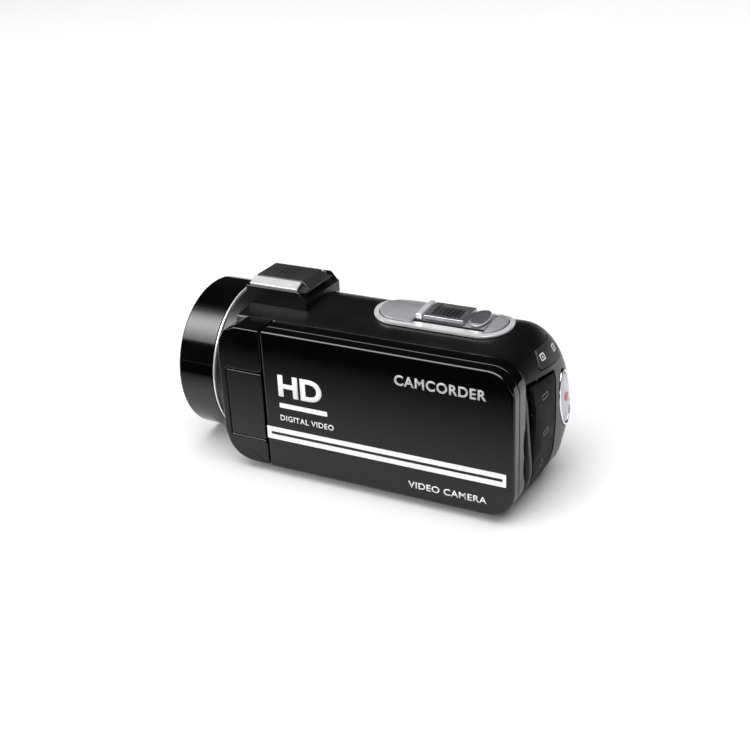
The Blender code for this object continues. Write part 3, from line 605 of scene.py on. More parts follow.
def directions(step=9.0, corner=4):
    out = [84.5 * i / corner for i in range(corner)]
    k = round((235.6 - 84.5) / step)
    out += [84.5 + (235.6 - 84.5) * i / k for i in range(k + 1)]
    out += [235.6 + (270 - 235.6) * i / corner for i in range(1, corner + 1)]
    out += [270 + 90 * i / corner for i in range(1, corner)]
    return [math.radians(d) for d in out]


def section(r, xl, zt, zb, rc, step=2.0, corner=12):
    discs = ((0, 0, r), (xl - rc, zt - rc, rc), (xl - rc, zb + rc, rc), (-6.0, zb + 5.0, 5.0))
    dirs = directions(step, corner)
    h = [max(c[0] * math.cos(t) + c[1] * math.sin(t) + c[2] for c in discs) for t in dirs]
    out = []
    for i, t in enumerate(dirs):
        t2, h2 = dirs[(i + 1) % len(dirs)], h[(i + 1) % len(dirs)]
        d = math.sin(t2 - t)
        out.append(((h[i] * math.sin(t2) - h2 * math.sin(t)) / d, (h2 * math.cos(t) - h[i] * math.cos(t2)) / d))
    return out


OUTER = section(BODY_R, BAY_X, TOP_Z, BASE_Z, 1.2)
INNER = section(BODY_R - WALL, BAY_X - WALL, TOP_Z - WALL, BASE_Z + WALL, 0.5)


def dome_y(x, z, sin_a, ry):
    return Y_DOME + ry * sin_a - DOME_SHEAR * z * sin_a - 1.6 * max(0.0, (x - 10) / 10) ** 2 * sin_a


def dome_rings(outline, ry, ri, y_start, steps=20):
    rings = [[(x, y_start, z) for x, z in outline]]
    for k in range(steps + 1):
        a = math.pi / 2 * k / steps
        s, sl = 1 - ri / BODY_R * (1 - math.cos(a)), 1 - 0.04 * (1 - math.cos(a))
        ring = []
        for x, z in outline:
            x1, z1 = x * (s if x < 0 else sl), z * s
            ring.append((x1, dome_y(x1, z1, math.sin(a), ry), z1))
        rings.append(ring)
    last = rings[-1]
    for t in (0.93, 0.85, 0.75, 0.65, 0.55, 0.45, 0.35, 0.25, 0.15, 0.07):
        rings.append([(x * t, dome_y(x * t, z * t, 1, ry), z * t) for x, y, z in last])
    return rings


def dome_shell(outer, inner, y_start, ry_in=DOME_RY - WALL):
    a = dome_rings(outer, DOME_RY, DOME_RI, y_start)
    b = dome_rings(inner, ry_in, DOME_RI, y_start)
    return loft(a[::-1] + b, cap0='fan', cap1='fan')


v, f = loft(dome_rings(OUTER, DOME_RY, DOME_RI, Y_FRONT), cap0=False, cap1='fan')
SKIN = BVHTree.FromPolygons([Vector(p) for p in v], [tuple(q) for q in f])


def rear_point(x, z, lift=0.0):
    """The point of the rear rounding at x, z, moved out by lift."""
    hit = SKIN.ray_cast(Vector((x, 90, z)), Vector((0, -1, 0)))
    if hit[0] is None:
        return (x, 50, z)
    normal = hit[1] if hit[1].y > 0 else -hit[1]
    return tuple(hit[0] + normal * lift)


# ================================================================ front: ring, trim, collar, lens
ring = lathe("front_ring_gloss", [(RING_R, RING_Y1), (RING_R, RING_Y0 + 0.8), (25.05, RING_Y0 + 0.3), (24.4, RING_Y0), (22.8, RING_Y0),
             (21.6, RING_Y0 + 1.0), (20.9, -59.1), (20.9, RING_Y1)], M["gloss_black"], segs=256, r=[0.25, 0.5, 0.4, 0.4, 0.5, 0.8, 0.6, 0.2], n=6)
piece(ring, "front_ring")
trim = lathe("chrome_trim_band", [(25.45, -49.95), (25.45, -49.35), (22.3, -49.35), (22.3, -49.95)], M["plate_metal"], segs=192, r=[0.18, 0.18, 0, 0])
piece(trim, "chrome_trim_ring")
collar = lathe("front_collar_satin", [(25.0, -49.05), (25.0, -42.3), (22.6, -42.3), (22.6, -49.05)], M["satin_black"], segs=192, r=[0.25, 0.1, 0.1, 0.1])
piece(collar, "front_collar")

# front plate: concentric ridges round the barrel, lamp bore and microphone slots
prof = [(20.55, -58.9), (20.55, -57.4), (13.0, -56.4), (13.0, -58.0)]
top = []
for k in range(17):
    r0 = 13.3 + 0.28 * k
    y = -58.0 - 0.9 * (r0 - 13.0) / 7.55
    top += [(r0, y + 0.02), (r0 + 0.07, y - 0.1), (r0 + 0.2, y - 0.1)]
plate = lathe("front_plate_ridged", prof + top, M["satin_black"], segs=192, angle=25)
cut(plate, hole(circle(0, 16.6, 2.55, 48), -62, -50, 'Y'), angle=25)
for x in (5.6, -5.6):
    cut(plate, hole(rounded((x - 2.3, -17.9), (x + 2.3, -15.9), [0.9] * 4, 8), -62, -50, 'Y'), angle=25)
piece(plate, "front_plate")
for side, x in (("left", 5.6), ("right", -5.6)):
    g = soft_prism("mic_grille_" + side, rounded((x - 2.0, -17.6), (x + 2.0, -16.2), [0.65] * 4, 8), -58.6, -57.2, 'Y', M["steel"], r=0.12)
    for k in range(4):
        cx = x - 1.2 + 0.8 * k
        cut(g, hole(circle(cx, -16.9, 0.26, 16), -59.2, -57.8, 'Y'))
    piece(g, "microphone_grille_" + side)

lamp = lathe("front_lamp_lens_ridged", [(0, -58.95), (0.5, -58.9), (0.6, -58.75), (1.0, -58.85), (1.1, -58.7), (1.5, -58.8), (1.6, -58.65), (2.2, -58.7), (2.2, -57.0), (0, -57.0)],
             M["clear_glass"], centre=(0, 16.6), segs=64, angle=20)
piece(lamp, "front_lamp_lens")

prof = [(12.6, -58.6), (12.6, -24.0), (11.2, -24.0)]
y = -50.0
while y > -56.6:
    prof += [(11.2, y), (11.02, y - 0.15), (11.02, y - 0.45), (11.2, y - 0.6)]
    y -= 0.9
prof += [(11.2, -56.8), (11.9, -58.6)]
barrel = lathe("lens_barrel_ridged", prof, M["satin_black"], segs=144, r=[0.25, 0, 0] + [0] * (len(prof) - 4) + [0.2], angle=25)
piece(barrel, "lens_barrel")


def crown(name, node, r, y_rim, sag, y_back, mat, steps=14, segs=128, concave=False):
    prof = [(0, y_rim - sag)]
    R = (r * r + sag * sag) / (2 * sag)
    for k in range(1, steps + 1):
        rr = r * k / steps
        prof.append((rr, y_rim - sag + (R - math.sqrt(R * R - rr * rr))))
    prof += [(r, y_back), (0, y_back)]
    piece(lathe(name, prof, mat, segs=segs, angle=35), node)


crown("front_lens_element", "front_lens", 10.9, -54.2, 2.7, -52.2, M["clear_glass"])

# ================================================================ body casings
PORT = [(-0.9, 11.8), (-1.5, 8.9), (-0.4, 0.0), (2.2, -8.4), (4.1, -15.4), (6.8, -19.6), (17.4, -20.4),
        (17.6, -10.0), (16.9, -5.5), (15.6, -1.0), (14.6, 4.0), (14.1, 9.0), (13.5, 12.9)]
PORT_HOLE = [(-1.5, 12.7), (-2.0, 9.0), (-0.8, -0.1), (1.8, -8.6), (3.7, -15.7), (6.4, -20.1), (21.0, -21.0), (21.0, 15.3), (15.5, 14.9)]
KEYS = [(4.0, 20.3), (-9.0, 19.9), (-12.6, 13.5), (-3.0, 14.2), (7.2, 15.6)]

v, f = dome_shell(OUTER, INNER, Y_FRONT)
casing = mesh_obj("top_casing_smooth", v, f, M["satin_black"])
cut(casing, box_cut((-40, -50, -40), (18.05, 43.15, 12.6)))
cut(casing, box_cut((18.05, -50, -40), (40, 70, 21.65)))
cut(casing, box_cut((-7.15, 42, -40), (14.35, 51.3, -23.2)))
cut(casing, hole(fillet(PORT_HOLE, 1.1, 5), 45, 70, 'Y'), solver='MANIFOLD')
cut(casing, hole(fillet(grown(KEYS, 0.35), 1.0, 5), 45, 70, 'Y'), solver='MANIFOLD')
cut(casing, hole(oval(REC[0], REC[1], 4.95, 9.65), 45, 70, 'Y'), solver='MANIFOLD')
piece(casing, "top_casing")


def clip(outline, keep):
    n = len(outline)
    start = next(i for i in range(n) if keep(outline[i]) and not keep(outline[i - 1]))
    run = []
    for k in range(n):
        p = outline[(start + k) % n]
        if not keep(p):
            break
        run.append(p)
    return outline[start - 1], run, outline[(start + len(run)) % n]


def cross(p, q, z):
    t = (z - p[1]) / (q[1] - p[1])
    return (p[0] + (q[0] - p[0]) * t, z)


def right_run(outline, z_hi, z_lo):
    before, run, after = clip(outline, lambda p: p[0] < 0 and z_lo < p[1] < z_hi)
    return [cross(before, run[0], z_hi)] + run + [cross(run[-1], after, z_lo)]


side = soft_prism("right_casing_smooth", right_run(OUTER, 12.3, -23.4) + right_run(INNER, 12.3, -23.4)[::-1], Y_FRONT, 42.85, 'Y', M["satin_black"], r=0.15, n=3)
piece(side, "right_casing")


def left_profile(z, x=19.0):
    zt = TOP_Z if z > 0 else -BASE_Z
    c = 1 - (1 - abs(z) / zt) * BODY_R / DOME_RI
    a = math.pi / 2 if c < 0 else math.acos(min(c, 1.0))
    return dome_y(x, z, math.sin(a), DOME_RY)


zs = [21.35 - (21.35 + 23.4) * i / 60 for i in range(61)]
left = soft_prism("left_casing_smooth", [(Y_FRONT, -23.4), (Y_FRONT, 21.35)] + [(left_profile(z), z) for z in zs], 18.3, BAY_X, 'X', M["satin_black"], r=0.12, n=2, r_lo=0)
cut(left, hole(circle(36, 8, 5.3, 72), 10, 25, 'X'))
cut(left, hole(circle(44, -8, 3.0, 48), 10, 25, 'X'))
cut(left, hole(circle(34, -8, 2.6, 48), 10, 25, 'X'))
cut(left, box_cut((10, -36, -6), (25, -33, 2)))
piece(left, "left_casing")

grille = soft_prism("speaker_grille_pierced", circle(36, 8, 5.0, 72), 18.6, 19.8, 'X', M["steel"], r=0.2)
for ring_n, rr in ((1, 0.0), (6, 1.5), (12, 3.0)):
    for k in range(ring_n):
        t = 2 * math.pi * k / ring_n + rr
        cut(grille, hole(circle(36 + rr * math.cos(t), 8 + rr * math.sin(t), 0.45, 14), 18.2, 20.2, 'X'))
piece(grille, "speaker_grille")
for name, node, y, r0, r1, mat in (("power_button_dished", "power_button", 44, 2.1, 2.5, M["satin_silver"]), ("display_button_dished", "display_button", 34, 1.8, 2.15, M["dark_grey"])):
    prof = [(0, 20.02), (r0 * 0.5, 20.06), (r0 * 0.85, 20.16), (r0, 20.2), (r1, 19.9), (r1, 18.15), (r1 + 1.1, 18.0), (r1 + 1.1, 17.85), (0, 17.85)]
    b = lathe(name, prof[::-1], mat, centre=(y, -8), segs=64, axis='X', r=[0, 0, 0, 0.05, 0.15, 0.15, 0, 0, 0])
    piece(b, node)

# base
before, run, after = clip(OUTER, lambda p: p[1] < -23.7)
base = soft_prism("base_cover_smooth", [cross(before, run[0], -23.7)] + run + [cross(run[-1], after, -23.7)], Y_FRONT, 42.85, 'Y', M["satin_black"], r=0.2, n=3)
cut(base, box_cut((-7.1, -10.3, -40), (14.3, 60, 0)))
cut(base, hole(circle(5.5, -26, 6.3, 72), -40, 0, 'Z'))
for x, y in ((15.5, -38), (-5.5, -38), (17.1, 36)):
    cut(base, hole(circle(x, y, 1.95, 40), -40, 0, 'Z'))
piece(base, "base_cover")
for tag, x, y in (("front_left", 15.5, -38), ("front_right", -5.5, -38), ("rear_left", 17.1, 36)):
    s = lathe("cross_screw_" + tag, [(0, -25.28), (1.1, -25.22), (1.65, -24.95), (1.65, -24.2), (0.9, -24.0), (0.9, -19.5), (0, -19.5)],
              M["steel"], centre=(x, y), segs=48, axis='Z', r=[0, 0, 0.2, 0.1, 0, 0.1, 0])
    a = math.radians(20 + 37 * (x > 0) + 13 * (y > 0))
    for q in (0, math.pi / 2):
        c, sn = math.cos(a + q), math.sin(a + q)
        out = [(x + c * 0.95 - sn * 0.16, y + sn * 0.95 + c * 0.16), (x - c * 0.95 - sn * 0.16, y - sn * 0.95 + c * 0.16),
               (x - c * 0.95 + sn * 0.16, y - sn * 0.95 - c * 0.16), (x + c * 0.95 + sn * 0.16, y + sn * 0.95 - c * 0.16)]
        cut(s, hole(out, -26, -24.7, 'Z'))
    piece(s, "base_screw_" + tag)
prof = [(6.0, -25.3), (6.0, -23.4), (4.9, -23.4), (4.9, -18.3), (3.15, -18.3)]
z = -18.9
while z > -24.6:
    prof += [(3.15, z), (3.45, z - 0.32), (3.15, z - 0.64)]
    z -= 0.8
prof += [(3.15, -24.95), (3.5, -25.3)]
bush = lathe("tripod_bush_threaded", prof, M["brass"], centre=(5.5, -26), segs=96, axis='Z', angle=25)
piece(bush, "tripod_bush")

door_profile = [(-10.0, -25.2), (44.0, -25.2), (47.0, -24.95), (49.0, -24.45), (50.3, -24.05), (50.3, -23.85), (-10.0, -23.85)]
bdoor = soft_prism("battery_door_ribbed", door_profile, -6.8, 14.0, 'X', M["satin_black"], r=0.15, n=3)
for k in range(5):
    cut(bdoor, box_cut((-2.4, -5.0 + 1.5 * k, -26), (9.6, -4.3 + 1.5 * k, -24.95)))
piece(bdoor, "battery_door")

# ================================================================ rear face
def patch(name, node, outline, mat, thick, lift=0.0, r=0.9, edge=0.25):
    sec = section(BODY_R + lift, BAY_X + lift, TOP_Z + lift, BASE_Z - lift, 1.2)
    sec_in = section(BODY_R - thick, BAY_X - thick, TOP_Z - thick, BASE_Z + thick, 0.5)
    a = dome_rings(sec, DOME_RY + lift, DOME_RI, 42.0)
    b = dome_rings(sec_in, DOME_RY - thick, DOME_RI, 42.0)
    v, f = loft(a[::-1] + b, cap0='fan', cap1='fan')
    obj = mesh_obj(name, v, f, mat)
    cut(obj, hole(fillet(outline, r, 6), 46, 72, 'Y'), 'INTERSECT', 'MANIFOLD')
    if edge:
        bevel(obj, edge, 3, 50)
    piece(obj, node)
    return obj


keys = patch("rear_keys_moulded", "rear_key_rocker", KEYS, M["dark_grey"], 1.5, 0.1)
flap = patch("socket_flap_rubber", "port_cover", PORT, M["rubber"], 1.5, -0.15, r=1.3)


def decal(name, outline, mat, lift, thick=0.06, body="camera_body", holes=()):
    """A thin mark lying on the rear rounding, from an (x, z) outline or, with holes, a frame."""
    def at(p, h):
        return rear_point(p[0], p[1], h)
    if holes:
        rings = [[at(p, lift - 0.1) for p in outline], [at(p, lift + thick) for p in outline],
                 [at(p, lift + thick) for p in holes], [at(p, lift - 0.1) for p in holes]]
        v, f = loft(rings, close=True)
    else:
        v, f = loft([[at(p, lift - 0.1) for p in outline], [at(p, lift + thick) for p in outline]])
    obj = mesh_obj(name, v, f, mat)
    piece(obj, None, body)
    return obj


def seg(x0, z0, x1, z1, w):
    d = Vector((x1 - x0, z1 - z0)).normalized() * w / 2
    return [(x0 - d.y, z0 + d.x), (x0 + d.y, z0 - d.x), (x1 + d.y, z1 - d.x), (x1 - d.y, z1 + d.x)]


# two plain key marks: a rounded frame with a dot, and a rounded frame with a bar
for tag, cx, cz in (("left", 2.6, 18.0), ("right", -7.0, 17.1)):
    decal("key_mark_frame_" + tag, rounded((cx - 1.35, cz - 0.95), (cx + 1.35, cz + 0.95), [0.45] * 4, 5), INK, 0.12, 0.05, "rear_keys",
          rounded((cx - 1.0, cz - 0.62), (cx + 1.0, cz + 0.62), [0.3] * 4, 5))
decal("key_mark_dot", circle(2.6, 18.0, 0.33, 20), INK, 0.12, 0.05, "rear_keys")
decal("key_mark_bar", seg(-7.45, 17.1, -6.55, 17.1, 0.26), INK, 0.12, 0.05, "rear_keys")

# plain socket marks on the flap: a slot, a wider slot and a ring
decal("flap_mark_slot", rounded((4.6, 6.9), (9.4, 8.5), [0.5] * 4, 5), INK_GREY, -0.12, 0.1, "socket_flap",
      rounded((5.0, 7.3), (9.0, 8.1), [0.35] * 4, 5))
decal("flap_mark_small_slot", rounded((6.6, -4.0), (10.8, -2.5), [0.5] * 4, 5), INK_GREY, -0.12, 0.1, "socket_flap",
      rounded((7.0, -3.6), (10.4, -2.9), [0.3] * 4, 5))
decal("flap_mark_ring", circle(11.6, -12.4, 1.25, 36), INK_GREY, -0.12, 0.1, "socket_flap", circle(11.6, -12.4, 0.85, 36))


def sheared_rings(outline, levels):
    out = []
    for d, y in levels:
        o = grown(outline, -d) if abs(d) > 1e-9 else outline
        out.append([(p[0], y - DOME_SHEAR * p[1], p[1]) for p in o])
    return out


outer = oval(REC[0], REC[1], 4.6, 9.3)
levels = [(0.0, 54.6)]
for k in range(9):
    t = math.pi * k / 8
    levels.append((0.425 * (1 - math.cos(t)), 57.48 + 0.42 * math.sin(t)))
levels.append((0.85, 54.6))
v, f = loft(sheared_rings(outer, levels), close=True)
piece(mesh_obj("record_bezel_plated", v, f, M["chrome"]), "record_bezel")
inner = oval(REC[0], REC[1], 3.45, 8.15)
levels = [(0.0, 54.6), (0.0, 57.4)]
for k in range(1, 7):
    t = math.pi / 2 * k / 6
    levels.append((0.55 * (1 - math.cos(t)), 57.4 + 0.4 * math.sin(t)))
rings = sheared_rings(inner, levels)
last = rings[-1]
for s in (0.8, 0.6, 0.4, 0.2):
    rings.append([(REC[0] + (p[0] - REC[0]) * s, p[1] + 0.35 * (1 - s * s) - DOME_SHEAR * ((REC[1] + (p[2] - REC[1]) * s) - p[2]), REC[1] + (p[2] - REC[1]) * s) for p in last])
v, f = loft(rings, cap1='fan')
piece(mesh_obj("record_button_domed", v, f, M["pearl_grey"]), "record_button")
v, f = loft([[(p[0], 57.6 - DOME_SHEAR * p[1], p[1]) for p in circle(REC[0], REC[1] + 0.4, 1.55, 40)],
             [(p[0], 58.2 - DOME_SHEAR * p[1], p[1]) for p in circle(REC[0], REC[1] + 0.4, 1.5, 40)],
             [(p[0], 58.24 - DOME_SHEAR * p[1], p[1]) for p in circle(REC[0], REC[1] + 0.4, 1.3, 40)]])
piece(mesh_obj("record_dot", v, f, RED), None, "record_key")

# ================================================================ accessory shoe
def top_z(x):
    if x > BODY_R * math.sin(TOP_LEAN):
        return (BODY_R - x * math.sin(TOP_LEAN)) / math.cos(TOP_LEAN)
    return math.sqrt(BODY_R ** 2 - x * x)


xs = [10.8 - 21.6 * i / 40 for i in range(41)]
ped = [(x, top_z(x) + 0.12) for x in xs] + [(-10.8, 30.0), (-10.55, 30.2), (-10.0, 30.2), (-9.95, 27.7), (9.95, 27.7), (10.0, 30.2), (10.55, 30.2), (10.8, 30.0)]
rings = []
for y, low in ((-43.6, 0.0), (-24.9, 0.0), (-24.2, 0.08), (-22.2, 0.9), (-21.6, 1.0)):
    rings.append([(x, y, z if i < 41 else z - low * (z - 27.2)) for i, (x, z) in enumerate(ped)])
v, f = loft(rings)
obj = mesh_obj("shoe_pedestal_satin", v, f, M["satin_black"])
bevel(obj, 0.28, 3, 40)
piece(obj, "shoe_pedestal")
rail = [(-9.6, 28.0), (9.6, 28.0), (9.6, 30.6), (6.3, 32.1), (6.3, 31.1), (8.9, 30.2), (8.9, 28.7),
        (-8.9, 28.7), (-8.9, 30.2), (-6.3, 31.1), (-6.3, 32.1), (-9.6, 30.6)]
obj = soft_prism("shoe_rails_plated", fillet(rail, 0.16, 3), SHOE_Y0, SHOE_Y1, 'Y', M["plate_metal"], r=0.12, n=2)
piece(obj, "shoe_rails")
foot = fillet([(-8.5, 29.05), (8.5, 29.05), (8.5, 29.8), (6.0, 30.4), (6.0, 32.2), (-6.0, 32.2), (-6.0, 30.4), (-8.5, 29.8)], [0.1, 0.1, 0.15, 0.2, 0.5, 0.5, 0.2, 0.15], 5)
rings = []
for y, k in ((-42.4, 0.0), (-25.8, 0.0), (-25.3, 0.07), (-23.3, 0.9), (-22.9, 1.0)):
    rings.append([(x, y, z + k * ((29.5 + 0.35 * (z - 29.5) / 2.7 if z >= 29.5 else z) - z)) for x, z in foot])
v, f = loft(rings)
obj = mesh_obj("shoe_cover_matte", v, f, M["dark_grey"])
bevel(obj, 0.22, 3, 40)
piece(obj, "shoe_cover")
for k in range(4):
    y = -36.6 + 1.5 * k
    rib = soft_prism("shoe_cover_rib_%d" % k, fillet([(-2.9, y), (2.9, y), (2.9, y + 0.6), (-2.9, y + 0.6)], 0.25, 4), 32.1, 32.38, 'Z', M["dark_grey"], r=0.1, n=3)
    piece(rib, None, "shoe_slide_cover")

# ================================================================ zoom plate
def on_top(th, d, y, round_all=False):
    if round_all or th < TOP_LEAN:
        return ((BODY_R + d) * math.sin(th), y, (BODY_R + d) * math.cos(th))
    s, c = math.sin(TOP_LEAN), math.cos(TOP_LEAN)
    u = BODY_R * (th - TOP_LEAN)
    return ((BODY_R + d) * s + u * c, y, (BODY_R + d) * c - u * s)


def wrapped(name, u_half, y_lo, y_hi, r0, r1, mat, slices=44, end=None, y_min=None, y_max=None, round_all=False, edge=0.3, n=4, crown=0.0):
    """A round-ended slab bent round the barrel, its top edges rounded by edge."""
    end = u_half if end is None else end
    deep = end
    if y_min is not None:
        deep = min(deep, y_hi - y_min - 0.3)
    if y_max is not None:
        deep = min(deep, y_max - y_lo - 0.3)
    u_lim = u_half * math.sqrt(1 - (1 - deep / end) ** 2)
    rings = []
    for k in range(slices + 1):
        u = -u_lim * math.cos(math.pi * k / slices)
        e = end * (1 - math.sqrt(max(0.0, 1 - (u / u_half) ** 2)))
        a, b = y_lo + e, y_hi - e
        if y_min is not None:
            a = max(a, y_min)
        if y_max is not None:
            b = min(b, y_max)
        q = max(0.0, (abs(u) - (u_half - edge)) / edge) if edge else 0.0
        drop = edge * (1 - math.sqrt(max(0.0, 1 - q * q))) if end < 0.5 else 0.0
        rise = crown * (1 - (u / u_half) ** 2)
        flat = [(a, r0), (b, r0), (b, r1 - drop + rise), (a, r1 - drop + rise)]
        flat = fillet(flat, [0, 0, edge, edge], n) if edge else flat
        if len(flat) < 4 + 2 * n and edge:
            flat = [(a, r0), (b, r0)] + [(b, r1 - drop)] * (n + 1) + [(a, r1 - drop)] * (n + 1)
        rings.append([on_top((u + CAP_SIDE) / BODY_R, r - BODY_R, y, round_all) for y, r in flat])
    v, f = loft(rings)
    return mesh_obj(name, v, f, mat, 32)


def stadium(u_half, y_lo, y_hi, n=40):
    """(u, y, normal u, normal y) round a stadium."""
    out = []
    for cy, start in ((y_hi - u_half, 0), (y_lo + u_half, 180)):
        for i in range(n + 1):
            t = math.radians(start + 180 * i / n)
            out.append((u_half * math.cos(t), cy + u_half * math.sin(t), math.cos(t), math.sin(t)))
    return out


def band(name, path, cross_section, mat, angle=32):
    """Sweeps a closed (outwards, height) section along a stadium path on the top."""
    rings = []
    for u, y, nu, ny in path:
        rings.append([on_top((u + w * nu) / BODY_R, h - BODY_R, y + w * ny) for w, h in cross_section])
    v, f = loft(rings, close=True)
    return mesh_obj(name, v, f, mat, angle)


rim = wrapped("zoom_plate_rim_plated", CAP_U, CAP_Y0, CAP_Y1, PLATE_R0, PLATE_R1, M["plate_metal"], slices=72, edge=0.4, n=6)
cut(rim, wrapped("cutter", 7.7, CAP_Y0 + 1.6, CAP_Y1 - 1.6, 20, 40, None, slices=72, y_max=14.6, edge=0), solver='MANIFOLD')
cut(rim, wrapped("cutter", 7.7, CAP_Y0 + 1.6, CAP_Y1 - 1.6, 20, 40, None, slices=72, y_min=37.4, edge=0), solver='MANIFOLD')
cut(rim, wrapped("cutter", 5.7, 14.0, 38.0, 20, 40, None, slices=30, end=0.01, edge=0), solver='MANIFOLD')
piece(rim, "zoom_plate_rim")
inner_plate = wrapped("zoom_plate_satin", 5.15, 14.9, 37.1, PLATE_R0, PLATE_R1 + 0.03, M["satin_silver"], end=0.01, edge=0.15)
piece(inner_plate, "zoom_plate_inner")
# painted shade: a near-black strip along both sides of the inner plate, filling the groove and lying just over the
# rim's inner edge, standing for the groove's shade
for side, (u0, u1) in (("near", (5.05, 6.2)), ("far", (-5.74, -5.05))):
    g = [[on_top((u + CAP_SIDE) / BODY_R, r - BODY_R, y) for u, r in ((u0, 25.7), (u1, 25.7), (u1, 26.34), ((u0 + u1) / 2, 26.33), (u0, 26.34))] for y in (14.2, 20, 26, 32, 37.8)]
    v, f = loft(g)
    piece(mesh_obj("zoom_plate_groove_painted_shade_" + side, v, f, GROOVE_SHADE), None, "camera_body")
front_cap = wrapped("zoom_front_cap_satin", 7.35, CAP_Y0 + 1.95, CAP_Y1 - 1.95, PLATE_R0, 26.85, M["cap_grey"], y_max=14.3, edge=0.6, n=6, crown=0.15)
piece(front_cap, "zoom_front_cap")
rear_cap = wrapped("zoom_rear_cap_satin", 7.35, CAP_Y0 + 1.95, CAP_Y1 - 1.95, PLATE_R0, 26.75, M["cap_grey"], y_min=37.7, edge=0.5, n=6, crown=0.15)
piece(rear_cap, "zoom_rear_cap")
lever = wrapped("zoom_lever_frame", 5.0, 17.3, 30.6, 26.95, 28.2, M["smoked_metal"], end=0.01, edge=0.35)
well = wrapped("cutter", 3.6, 19.3, 28.8, 27.4, 40, None, end=0.01, edge=0)
cut(lever, well, solver='MANIFOLD')
bevel(lever, 0.14, 3, 50)
piece(lever, "zoom_lever")
floor_plate = wrapped("zoom_lever_well_floor", 3.55, 19.35, 28.75, 27.2, 27.5, M["dark_grey"], end=0.01, edge=0.1)
piece(floor_plate, None, "zoom_control")
for k in range(6):
    y = 20.6 + 1.36 * k
    rib = wrapped("zoom_lever_grip_%d" % k, 3.0, y, y + 0.55, 27.4, 27.85 - 0.02 * (k - 2.5) ** 2, M["dark_grey"], slices=18, end=0.01, edge=0.2)
    piece(rib, None, "zoom_control")
bar = wrapped("zoom_lever_bar_plated", 5.3, 14.9, 16.95, 26.95, 28.5, M["plate_metal"], end=0.01, edge=0.6, n=7)
piece(bar, "zoom_lever_bar")
photo = wrapped("photo_button_domed", 4.9, 31.6, 36.9, 27.05, 27.95, M["smoked_metal"], end=2.4, edge=0.35, n=5, crown=0.15)
piece(photo, "photo_button")
skirt = wrapped("photo_button_skirt", 5.05, 31.45, 37.05, 27.05, 27.55, M["plate_metal"], end=2.5, edge=0.15)
piece(skirt, None, "photo_key")


# ================================================================ hinge and screen
cowl_out = [(-27.9, -22.6), (-27.9, -13.8), (-41.3, -13.8), (-41.3, 9.5), (-27.9, 9.5), (-27.9, 24.0), (-37.0, 24.0), (-41.0, 22.3),
            (-43.2, 18.5), (-43.7, 14.0), (-43.7, -13.0), (-42.2, -18.0), (-39.2, -21.2), (-35.0, -22.6)]
cowl = soft_prism("hinge_cowl_gloss", fillet(cowl_out, [0.4, 1.6, 0.7, 0.7, 1.8, 0.6, 3.0, 4.0, 4.0, 4.0, 8.0, 7.0, 7.0, 8.0], 8, True), 20.6, DOOR_X1 - 0.1, 'X', M["gloss_black"], r=0.55, n=6, r_lo=0)
cut(cowl, hole(circle(0, 0, 25.4, 192), -60, -41.95, 'Y'))
cut(cowl, hole(circle(PIVOT[0], PIVOT[1], PIN_R + 0.1, 48), -18, 14, 'Z'))
cut(cowl, hole(circle(PIVOT[0], PIVOT[1], 3.0, 64), -13.75, 9.45, 'Z'))
piece(cowl, "hinge_cowl")
hb = [(20.6, -28.2), (20.6, -40.2), (21.4, -41.0)]
hb += [(30.0, -41.0), (30.0, -28.2)]
block = soft_prism("hinge_block_gloss", fillet(hb, [0.2, 0.6, 0.6, 0.4, 0.4], 6, True), -13.5, 9.2, 'Z', M["gloss_black"], r=0.35, n=5)
cut(block, hole(circle(PIVOT[0], PIVOT[1], PIN_R + 0.1, 48), -20, 20, 'Z'))
cut(block, hole(circle(TILT[0], TILT[1], 2.1, 48), -37.5, -20, 'Y'))
piece(block, "hinge_block")


def door_loop(inset, x, radii=(1.2, DOOR_R, DOOR_R, 1.2), n=20):
    return [(x, p[0], p[1]) for p in rounded((DOOR_Y0, DOOR_Z0), (DOOR_Y1, DOOR_Z1), radii, n, inset)]


R = 1.0
loops = [door_loop(R + 0.15, DOOR_X1)]
for k in range(9):
    a = math.pi / 2 * k / 8
    loops.append(door_loop(R * (1 - math.sin(a)), DOOR_X1 - R * (1 - math.cos(a))))
loops += [door_loop(0, DOOR_X1 - R - 0.12), door_loop(0, DOOR_XM + 0.6)]
for k in range(5):
    a = math.pi / 2 * k / 4
    loops.append(door_loop(0.3 * (1 - math.cos(a)), DOOR_XM + 0.15 + 0.3 * (1 - math.sin(a))))
loops += [door_loop(1.5, DOOR_XM + 0.15), door_loop(1.5, 28.7)]
v, f = loft(loops)
cover = mesh_obj("screen_cover_gloss", v, f, M["gloss_black"])
piece(cover, "screen_outer_cover")

WIN = ((-14.5, -19.5), (53.4, 19.5))
win = rounded(WIN[0], WIN[1], [1.0] * 4, 20)
loops = [door_loop(1.0, DOOR_XM - 0.15)]
for k in range(5):
    a = math.pi / 2 * k / 4
    loops.append(door_loop(0.3 * (1 - math.sin(a)), DOOR_XM - 0.15 - 0.3 * (1 - math.cos(a))))
for k in range(7):
    a = math.pi / 2 * k / 6
    loops.append(door_loop(0.9 * (1 - math.cos(a)), DOOR_X0 + 0.9 * (1 - math.sin(a))))
loops += [[(DOOR_X0, p[0], p[1]) for p in grown(win, 0.25)], [(DOOR_X0 + 0.25, p[0], p[1]) for p in win], [(22.4, p[0], p[1]) for p in win],
          door_loop(1.6, 22.4), door_loop(1.6, DOOR_XM - 0.15)]
v, f = loft(loops, close=True)
inner_frame = mesh_obj("screen_frame_satin", v, f, M["gloss_black"])
cut(inner_frame, hole(circle(TILT[0], TILT[1], 2.1, 48), -35, -23, 'Y'))
vs, fs = [(20.0, 56.4, -1.5 - 6.2)], []
NN, MM = 40, 20
